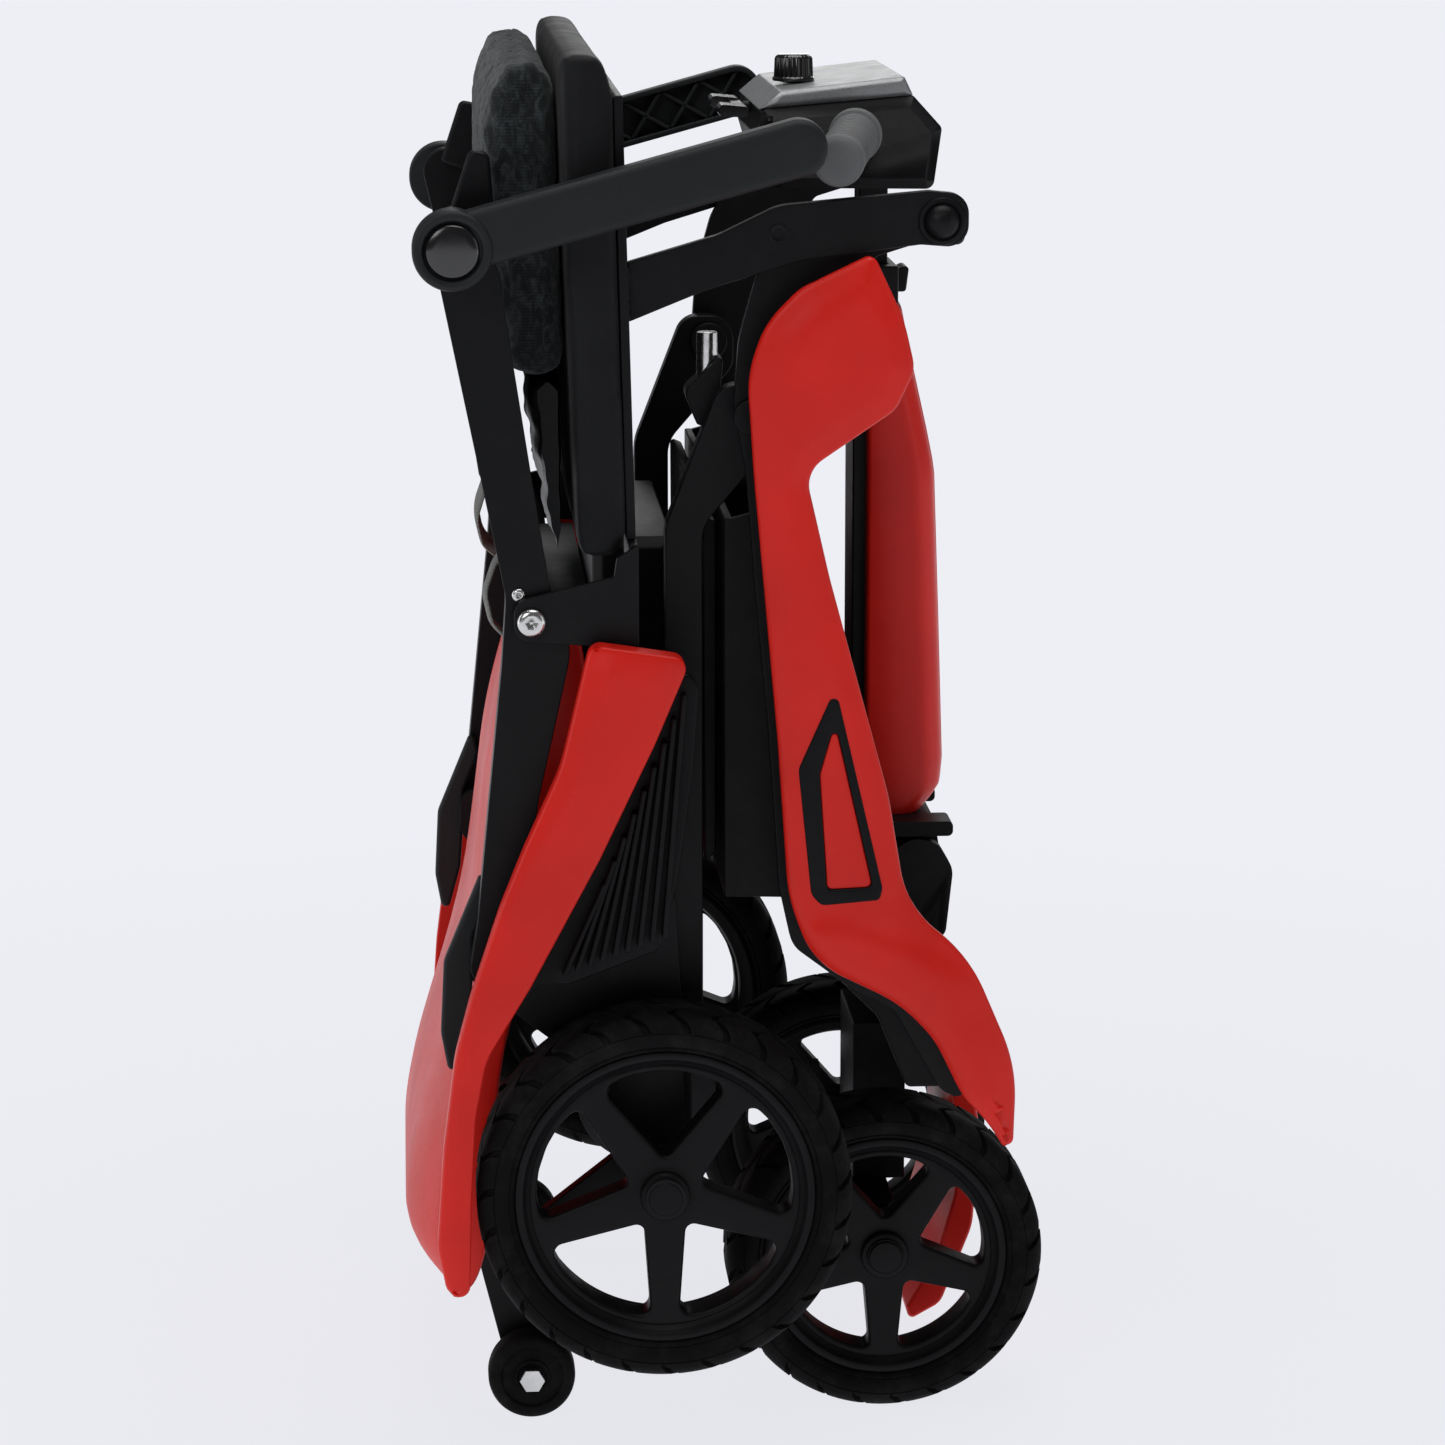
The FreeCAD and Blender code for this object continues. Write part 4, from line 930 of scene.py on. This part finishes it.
def armrest():
    """Bar with a soft outer edge over an open lattice, and a hub with a bezel round its cap."""
    def outline(start, inset, near, far):
        """Rounded outline of the bar, drawn in by inset, with corners of radius near and far."""
        end, high, low = ARM_END - inset, ARM_HIGH - inset, ARM_LOW + inset
        corners = ((start, high, near), (end, high, far), (end, low, far), (start, low, near))
        return rounded([along_arm(u, v) + (r,) for u, v, r in corners])

    rim = outline(10, 0, 3, 14.5)
    bm = plate([rim], 221.0, 229.0, edge=4.5, back_edge=0.5, grid=7.0)
    merged(bm, plate([rim, outline(14, 3.5, 2, 11)], 211.0, 223.0, edge=0.5, back_edge=1.0, grid=7.0))
    for i in range(7):
        a, b = (ARM_HIGH - 4, ARM_LOW + 4) if i % 2 == 0 else (ARM_LOW + 4, ARM_HIGH - 4)
        for u0, v0, u1, v1 in ((20 + 24.0 * i, a, 42 + 24.0 * i, b), (20 + 24.0 * i, b, 42 + 24.0 * i, a)):
            run = math.hypot(u1 - u0, v1 - v0)
            su, sv = -(v1 - v0) / run * 1.1, (u1 - u0) / run * 1.1
            corners = ((u0 + su, v0 + sv), (u1 + su, v1 + sv), (u1 - su, v1 - sv), (u0 - su, v0 - sv))
            bar = [along_arm(u, v) for u, v in corners]
            merged(bm, plate([rounded(bar, 4)], 213.0, 222.0, edge=0.3, back_edge=0.6, grid=9.0))
    return merged(bm, revolved(ARMREST_HUB, HUB_DISC, 96))


pair("armrest_bar", armrest(), sides("armrest"), "charcoal_plastic", sides("armrest"), sharp=40)
pair("armrest_cap", revolved(ARMREST_HUB, HUB_CAP, 72, closed=False), sides("armrest"), "knob_plastic", [])


# ---- grips, knob and bolts --------------------------------------------------------------------------------
def lathe_along(root, tip, profile, segments=56):
    """Lathe about the line from root to tip, from (distance along, radius) points."""
    root, tip = Vector(root), Vector(tip)
    way = (tip - root).normalized()
    side = way.orthogonal().normalized()
    up = way.cross(side)
    rings = []
    for s, r in profile:
        middle, reach = root + way * s, max(r, 0.05)
        rings.append([middle + (side * math.cos(a) + up * math.sin(a)) * reach for a in turns(segments)])
    return loft(rings)


GRIP_ROOT, GRIP_TIP = (76, -82, 702), (54, -192, 693)
length = (Vector(GRIP_TIP) - Vector(GRIP_ROOT)).length
RIB_START, RIB_PITCH = 32.0, 5.2
# (distance along, radius) of the root's collar, of one rib, and of the end, measured back from the tip
GRIP_COLLAR = [(17.2, 8), (17.2, 12.6), (18.0, 14.0), (19.5, 14.3), (24.5, 14.3), (26, 13.9), (26.8, 12.4),
               (30, 12.3)]
GRIP_RIB = [(0, 12.3), (0.5, 13.0), (3.0, 13.0), (3.5, 12.3)]
GRIP_END = [(12, 12.6), (11, 13.4), (4.5, 13.4), (1.8, 12.6), (0.5, 10.8), (0, 8.5), (0, 0.1)]
profile = list(GRIP_COLLAR)
s = RIB_START
while s < length - 14:
    profile += [(s + along, r) for along, r in GRIP_RIB]
    s += RIB_PITCH
profile += [(length - back, r) for back, r in GRIP_END]
both("grip_sleeves", lathe_along(GRIP_ROOT, GRIP_TIP, profile), "tiller_top", "grip_rubber", ["grips"])

KNOB = (45.0, -28.0)
FLUTES = 24
# height, radius, and how deep the flutes are there
KNOB_LEVELS = [(723.4, 6.0, 0), (724.6, 11.4, 0), (725.6, 11.7, 0), (726.6, 11.2, 0), (727.0, 10.8, 1),
               (736.6, 10.4, 1), (737.8, 9.8, 0.4), (738.6, 8.6, 0), (738.3, 7.4, 0), (738.2, 0.1, 0)]
rings = []
for z, r, flute in KNOB_LEVELS:
    ring = []
    for a in turns(FLUTES * 6):
        out = r - 0.55 * flute * (0.5 + 0.5 * math.cos(a * FLUTES))
        ring.append((KNOB[0] + out * math.cos(a), KNOB[1] + out * math.sin(a), z))
    rings.append(ring)
finish_mesh("dial_knob", loft(rings), "speed_knob", "knob_plastic", nodes=["speed_knob"])
mark = tube([(KNOB[0] + reach, KNOB[1], 738.3) for reach in (-8.2, 8.2)], 1.1)
finish_mesh("dial_mark", mark, "speed_knob", "bright_steel")

both("pivot_bolt_heads", button_head(SEAT_PIVOT, 210.6, 7.5, 4.2), "seat", "bright_steel",
     ["seat_pivot_bolts"])
WASHER = [(4.9, 204.4), (10.6, 204.4), (10.6, 205.4), (4.9, 205.4)]
both("pivot_washers", revolved(SEAT_PIVOT, WASHER, 48), "seat_posts", "black_steel")
DIMPLE = [(1.0, 186.6), (3.4, 187.2), (4.4, 187.5), (5.0, 187.2), (5.2, 186.4)]
both("arm_dimples", revolved((24.0, 656.5), DIMPLE, 32), "seat", "black_steel")
both("post_screws", button_head((-112.5, 471.5), 203.8, 3.6, 2.6), "seat_posts", "bright_steel")
BOLT_RIM = [(9.0, 186.8), (12.2, 186.8), (12.6, 187.4), (12.0, 188.6), (10.2, 189.0), (9.0, 188.2)]
both("arm_bolt_rims", revolved(ARM_PIVOT, BOLT_RIM, 64), "seat", "black_plastic")


# ---- rubber mat and welds ---------------------------------------------------------------------------------
def mat():
    """Ribbed rubber mat on the foot deck's face."""
    path = [(39.2, 506.0), (52.0, 420.0), (59.6, 306.0)]
    steps = []
    for (x0, z0), (x1, z1) in zip(path, path[1:]):
        run = math.hypot(x1 - x0, z1 - z0)
        out = (-(z1 - z0) / run, (x1 - x0) / run)
        ribs = int(run / 6.0)
        for k in range(ribs):
            for share, height in ((0.0, 1.0), (0.18, 2.4), (0.5, 2.4), (0.68, 1.0)):
                t = (k + share) / ribs
                steps.append((x0 + (x1 - x0) * t + out[0] * height, z0 + (z1 - z0) * t + out[1] * height))
    return prism(steps + [(59.0, 306.0), (51.4, 420.0), (38.6, 506.0)], 158)


finish_mesh("deck_mat", mat(), "front_frame", "rubber", sharp=30)
# black trim over the tail's top; its front flange, run down to z 392 over the tail's red inner face, is a
# dark strip that stands in for painted shade there
TRIM_WITH_SHADE_FLANGE = [(-71, 392), (-71, 449.6), (-91, 449.2), (-97, 440), (-95.4, 440), (-90, 446), (-76, 446), (-74, 392)]
finish_mesh("tail_trim_and_shade_flange", prism(TRIM_WITH_SHADE_FLANGE, 164), "rear_frame", "black_plastic", sharp=30)
weld = [(-54.4 + 0.5 * math.sin(k * 2.1), -187.4, 612.5 + 1.8 * k) for k in range(16)]
both("arm_welds", tube(weld, 1.5), "seat", "black_steel")


# ---- padded parts -----------------------------------------------------------------------------------------
def block(profile, half, shrink):
    """Closed mesh of an XZ profile across the scooter, in millimetres, drawn in by shrink on every side."""
    line = rounded(profile, 4.0)
    middle = line.mean(0)
    line = middle + (line - middle) * (1 - shrink / np.maximum(np.abs(line - middle).max(0), 1))
    bm = prism(line, half - shrink)
    bmesh.ops.recalc_face_normals(bm, faces=bm.faces)
    return bm


def apply_all(piece):
    """Turns the piece's modifiers into its mesh."""
    bpy.context.view_layer.update()
    shape = bpy.data.meshes.new_from_object(piece.evaluated_get(bpy.context.evaluated_depsgraph_get()))
    old = piece.data
    piece.modifiers.clear()
    piece.data = shape
    bpy.data.meshes.remove(old)


def read(piece, what="co"):
    values = np.zeros(len(piece.data.vertices) * 3)
    piece.data.vertices.foreach_get(what, values)
    return values.reshape(-1, 3)


PUFF_FRAMES = 20
PUFF = dict(use_pressure=True, uniform_pressure_force=4.0, quality=3, mass=0.25, tension_stiffness=22,
            compression_stiffness=22, shear_stiffness=9, bending_stiffness=0.6)


def puffed(name, profile, half, voxel, cap, shrink, look):
    """Pad blown up by a cloth simulation, each point moving no further than cap, in millimetres."""
    piece = placed(name, made(name, block(profile, half, shrink)))
    remesh = piece.modifiers.new("remesh", "REMESH")
    remesh.mode = "VOXEL"
    remesh.voxel_size = voxel * MM
    apply_all(piece)
    before = read(piece)
    scene = bpy.context.scene
    sim = piece.modifiers.new("cloth", "CLOTH")
    for key, value in PUFF.items():
        setattr(sim.settings, key, value)
    sim.settings.effector_weights.gravity = 0.0
    sim.point_cache.frame_start = 1
    sim.point_cache.frame_end = PUFF_FRAMES
    for f in range(1, PUFF_FRAMES + 1):
        scene.frame_set(f)
    apply_all(piece)
    scene.frame_set(1)
    move = read(piece) - before
    size = np.linalg.norm(move, axis=1, keepdims=True)
    move = move * np.minimum(1.0, cap * MM / np.maximum(size, 1e-9))
    piece.data.vertices.foreach_set("co", (before + move).ravel())
    relax = piece.modifiers.new("relax", "SMOOTH")
    relax.iterations = 1
    relax.factor = 0.5
    finer = piece.modifiers.new("finer", "SUBSURF")
    finer.levels = finer.render_levels = 1
    apply_all(piece)
    piece.data.materials.clear()
    piece.data.materials.append(MATERIALS[look])
    piece.data.shade_smooth()
    return piece


def field(points, scale, seed):
    """Smooth, seeded waves over points, from -1 to 1, as a sum of slanted ripples."""
    draw = random.Random(seed)
    total = np.zeros(len(points))
    weight = 0.0
    for octave in range(5):
        for _ in range(4):
            way = np.array([draw.uniform(-1, 1) for _ in range(3)])
            way /= np.linalg.norm(way)
            turn = draw.uniform(0, 6.28)
            gain = 0.6 ** octave
            bent = 1.3 * np.sin(points @ way[::-1] * scale)
            total += gain * np.sin(points @ way * scale * 1.9 ** octave + turn + bent)
            weight += gain
    return total / weight


def sculpt(piece, shape):
    """Moves each vertex along its normal by shape(points, normals), all in millimetres."""
    co, no = read(piece), read(piece, "normal")
    co = co + no * (shape(co / MM, no) * MM)[:, None]
    piece.data.vertices.foreach_set("co", co.ravel())
    piece.data.update()


def groove(values, at, width, depth):
    """Rounded channel of that depth where values pass through at."""
    return -depth * np.exp(-((values - at) / width) ** 2)


BACK_PAD = [
    (-88.2, 579, 7), (-90, 622, 60), (-93.6, 746, 7), (-115.5, 744.5, 8), (-126, 720, 40), (-126.5, 655, 60),
    (-118.5, 640, 40), (-116, 579, 12),
]
SEAT_PAD = [
    (-80.6, 489.5, 3), (-89.8, 749.5, 5), (-68.5, 749.5, 8), (-62.7, 731, 3), (-56.5, 499, 3),
    (-62, 489.5, 4),
]


def back_shape(p, n):
    """Creases, the seams of its box sides, and channels sewn across the face that the sitter leans on."""
    billow = 1.5 - 5.5 * np.abs(field(p * np.array([1.0, 1.0, 0.35]), 0.26, 3))
    wrinkle = np.clip(billow, -1.4, 1.2) + 0.45 * field(p, 0.75, 5)
    side = np.clip(np.abs(n[:, 1]) * 1.4 - 0.4, 0, 1)
    corner = groove(np.abs(n[:, 0]) - np.abs(n[:, 1]), 0.0, 0.25, 1.3) * (p[:, 0] < -106)
    face = np.clip(np.abs(n[:, 0]) * 1.4 - 0.4, 0, 1)
    sewn = groove(np.abs(p[:, 1]), 88, 2.2, 2.6) * face
    welt = groove(p[:, 0] + 0.03 * (p[:, 2] - 579), -96.0, 1.1, 1.5) * side
    return wrinkle + sewn + welt + corner


back_pad = puffed("back_cushion", BACK_PAD, 174, 5.0, 2.6, 1.5, "back_fabric")
sculpt(back_pad, back_shape)
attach(back_pad, "seat_posts")
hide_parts("backrest_pad")


def seat_shape(p, n):
    """Faint unevenness, and a welt line along the rear edge of its sides."""
    side = np.clip(np.maximum(np.abs(n[:, 1]), np.abs(n[:, 2])) * 1.4 - 0.4, 0, 1)
    return 0.25 * field(p, 0.08, 8) + groove(p[:, 0] + 0.0315 * (p[:, 2] - 490), -75.8, 0.9, 0.9) * side


seat_pad = puffed("seat_cushion", SEAT_PAD, 200, 4.5, 0.8, 0.0, "seat_vinyl")
sculpt(seat_pad, seat_shape)
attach(seat_pad, "seat")
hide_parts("seat_pad")


# x of the flap's rear side, against height
FLAP_BACK = ([492, 517, 577], [-92.6, -97.6, -103.6])


def flap():
    """Slack lower skirt of the backrest's cover, gathered into soft lengthwise folds."""
    heights = np.arange(577.5, 489, -2.2)
    across = np.arange(-168, 168.1, 2.4)
    draw = random.Random(21)
    folds = [(draw.uniform(0.05, 0.16), draw.uniform(0, 6.28), draw.uniform(0.4, 1.0)) for _ in range(7)]
    sheets = []
    for back in (True, False):
        grid = []
        for z in heights:
            down = (577.5 - z) / 88.5
            row = []
            for y in across:
                edge_x = float(np.interp(z, *FLAP_BACK)) if back else -88 - 0.8 * down
                wave = sum(g * math.sin(y * f + t + 0.02 * z) for f, t, g in folds) / 4.5
                ripple = 0.8 * math.sin(z * 0.21 + 0.03 * y) + 0.5 * math.sin(z * 0.47 + y * 0.05 + 1.0)
                pinch = 1 - ease(np.array([(abs(y) - 158) / 10]))[0]
                close = min(1.0, (z - 489.5) / 6) * min(1.0, (578.2 - z) / 5)
                middle = -90.7 - 4.8 * (1 - down)
                x = edge_x + (-1.0 if back else 0.35) * (1.5 * wave + ripple) * (0.5 + 0.9 * down)
                x = middle + (x - middle) * max(0.05, close) * (0.7 + 0.3 * pinch)
                row.append((x, y, z))
            grid.append(row)
        sheets.append(grid)
    return two_sided(*sheets)


skirt = finish_mesh("cover_skirt", flap(), "seat_posts", "back_fabric", "wet_vinyl", 60, ["backrest_flap"])


# ---- carry strap ------------------------------------------------------------------------------------------
STRAP_PATH = [(-110, 490, 3), (-123.5, 480, 14), (-129.8, 462, 18), (-126, 445, 14), (-110, 431, 3)]


def strap():
    """Band of webbing looped out behind the posts, with its sewn ends lying flat."""
    line = rounded(STRAP_PATH + [(-60, 460)], 1.5)
    line = np.array([p for p in line if p[0] < -109.5])
    first = int(np.argmax(line[:, 1]))
    line = np.roll(line, -first, axis=0)
    if line[1][1] > line[0][1] or line[1][0] > line[0][0]:
        line = np.roll(line[::-1], 1, axis=0)
    across = np.linspace(120, 160, 17)
    last = len(line) - 1
    sheets = []
    for side in (0.95, -0.95):
        grid = []
        for i, p in enumerate(line):
            way = line[min(i + 1, last)] - line[max(i - 1, 0)]
            way /= max(np.linalg.norm(way), 1e-6)
            normal = np.array([-way[1], way[0]])
            arch = math.sin(math.pi * i / last)
            row = []
            for y in across:
                u = (y - 140) / 20
                thick = side * (1 - 0.75 * max(0.0, abs(u) - 0.9) / 0.1)
                x, z = p + normal * (thick + 1.2 * u * u * arch)
                row.append((x, -y, z + 3.0 * arch * u))
            grid.append(row)
        sheets.append(grid)
    return two_sided(*sheets)


ON_POSTS = ("seat_posts", "seat_posts")
for band in pair("carry_loop", strap(), ON_POSTS, "strap_webbing", ["carry_strap"], sharp=60):
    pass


# ---- motor lead -------------------------------------------------------------------------------------------
LEAD = [(-60, 118, 204), (-60, 136, 200), (-66, 134, 150), (-34, 126, 104), (0, 114, 128), (0, 104, 180),
        (-6, 102, 244), (-9, 100, 312)]
LEAD_RADIUS = 3.0


def lead_curve():
    """The lead's centreline and round section, through the same points as the CAD's."""
    curve = bpy.data.curves.new("motor_cable", "CURVE")
    curve.dimensions = "3D"
    curve.bevel_depth = LEAD_RADIUS * MM
    curve.bevel_resolution = 5
    curve.use_fill_caps = True
    curve.resolution_u = 16
    spline = curve.splines.new("NURBS")
    spline.points.add(len(LEAD) - 1)
    for point, (x, y, z) in zip(spline.points, LEAD):
        point.co = (x * MM, y * MM, z * MM, 1.0)
    spline.order_u = 3
    spline.use_endpoint_u = True
    spline.resolution_u = 16
    curve.materials.append(MATERIALS["rubber"])
    piece = placed("motor_cable", curve)
    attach(piece, "rear_frame")
    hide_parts("motor_lead")
    return piece


cable = lead_curve()


# ---- floor, light and camera ------------------------------------------------------------------------------
PALE = (0.855, 0.863, 0.913, 1.0)
AMBIENT = 0.10


def floor():
    """Pale floor that fades into the background's own tone away from the object."""
    bm = bmesh.new()
    bmesh.ops.create_circle(bm, cap_ends=True, segments=96, radius=14.0)
    mesh = made("floor", bm)
    g = Graph("floor")
    far = g.add("ShaderNodeVectorMath", {0: g.place}, operation="LENGTH")
    fade = g.spread(far.outputs["Value"], 0.3, 1.3, 0.90, 1.0)
    glow = g.add("ShaderNodeEmission", {"Color": PALE})
    tone = g.blend(g.noise(3.0), (0.80, 0.80, 0.82, 1.0), (0.84, 0.84, 0.86, 1.0))
    g.set(Base_Color=tone, Roughness=g.spread(g.noise(30.0), 0.3, 0.7, 0.75, 0.9),
          Normal=g.bump(g.noise(200.0), 0.05), Specular_IOR_Level=0.1)
    mix = g.add("ShaderNodeMixShader", {0: fade, 1: g.shader.outputs[0], 2: glow.outputs[0]})
    g.link(mix.outputs[0], g.tree.nodes["Material Output"].inputs["Surface"])
    mesh.materials.append(g.material)
    placed("floor", mesh)


# name, place, what it faces, its two sizes, and its power in watts
LIGHTS = (
    ("key", (-1.5, -2.3, 2.1), (0, 0, 0.42), (1.4, 1.4), 19),
    ("side", (-2.2, 0.1, 0.9), (0, 0, 0.4), (0.9, 1.8), 8),
    ("top", (0.1, -0.1, 2.3), (0, 0, 0.5), (1.5, 1.5), 20),
    ("fill", (2.2, -1.2, 0.9), (0, 0, 0.4), (1.2, 1.6), 4),
    ("rear", (0.6, 2.4, 1.6), (0, 0, 0.4), (1.6, 1.2), 12),
)


def area_light(name, place, aim, size, power):
    data = bpy.data.lights.new(name, "AREA")
    data.shape = "RECTANGLE"
    data.size, data.size_y = size
    data.energy = power
    lamp = placed(name, data)
    lamp.location = place
    lamp.rotation_euler = (Vector(aim) - Vector(place)).to_track_quat("-Z", "Y").to_euler()


def studio():
    """Soft lights, and a background that the camera sees brighter than it shines."""
    scene = bpy.context.scene
    world = bpy.data.worlds.new("studio")
    world.use_nodes = True
    tree = world.node_tree
    back, seen = tree.nodes["Background"], tree.nodes.new("ShaderNodeBackground")
    for node in (back, seen):
        node.inputs["Color"].default_value = PALE
    back.inputs["Strength"].default_value = AMBIENT
    path = tree.nodes.new("ShaderNodeLightPath")
    mix = tree.nodes.new("ShaderNodeMixShader")
    for source, target in zip((path.outputs["Is Camera Ray"], back.outputs[0], seen.outputs[0]), mix.inputs):
        tree.links.new(source, target)
    tree.links.new(mix.outputs[0], tree.nodes["World Output"].inputs["Surface"])
    scene.world = world
    scene.view_settings.view_transform = "Standard"
    for light in LIGHTS:
        area_light(*light)


# the photograph's viewpoint and direction, in metres
EYE, LOOK, LENS = (-0.1696, -2.5398, 0.8872), (0.0683, 0.9768, -0.2028), 113.7


def camera():
    data = bpy.data.cameras.new("camera")
    data.lens = LENS
    data.sensor_width = 36.0
    data.clip_start = 0.05
    eye = placed("camera", data)
    eye.location = EYE
    eye.rotation_euler = Vector(LOOK).to_track_quat("-Z", "Y").to_euler()
    bpy.context.scene.camera = eye


floor()
studio()
camera()
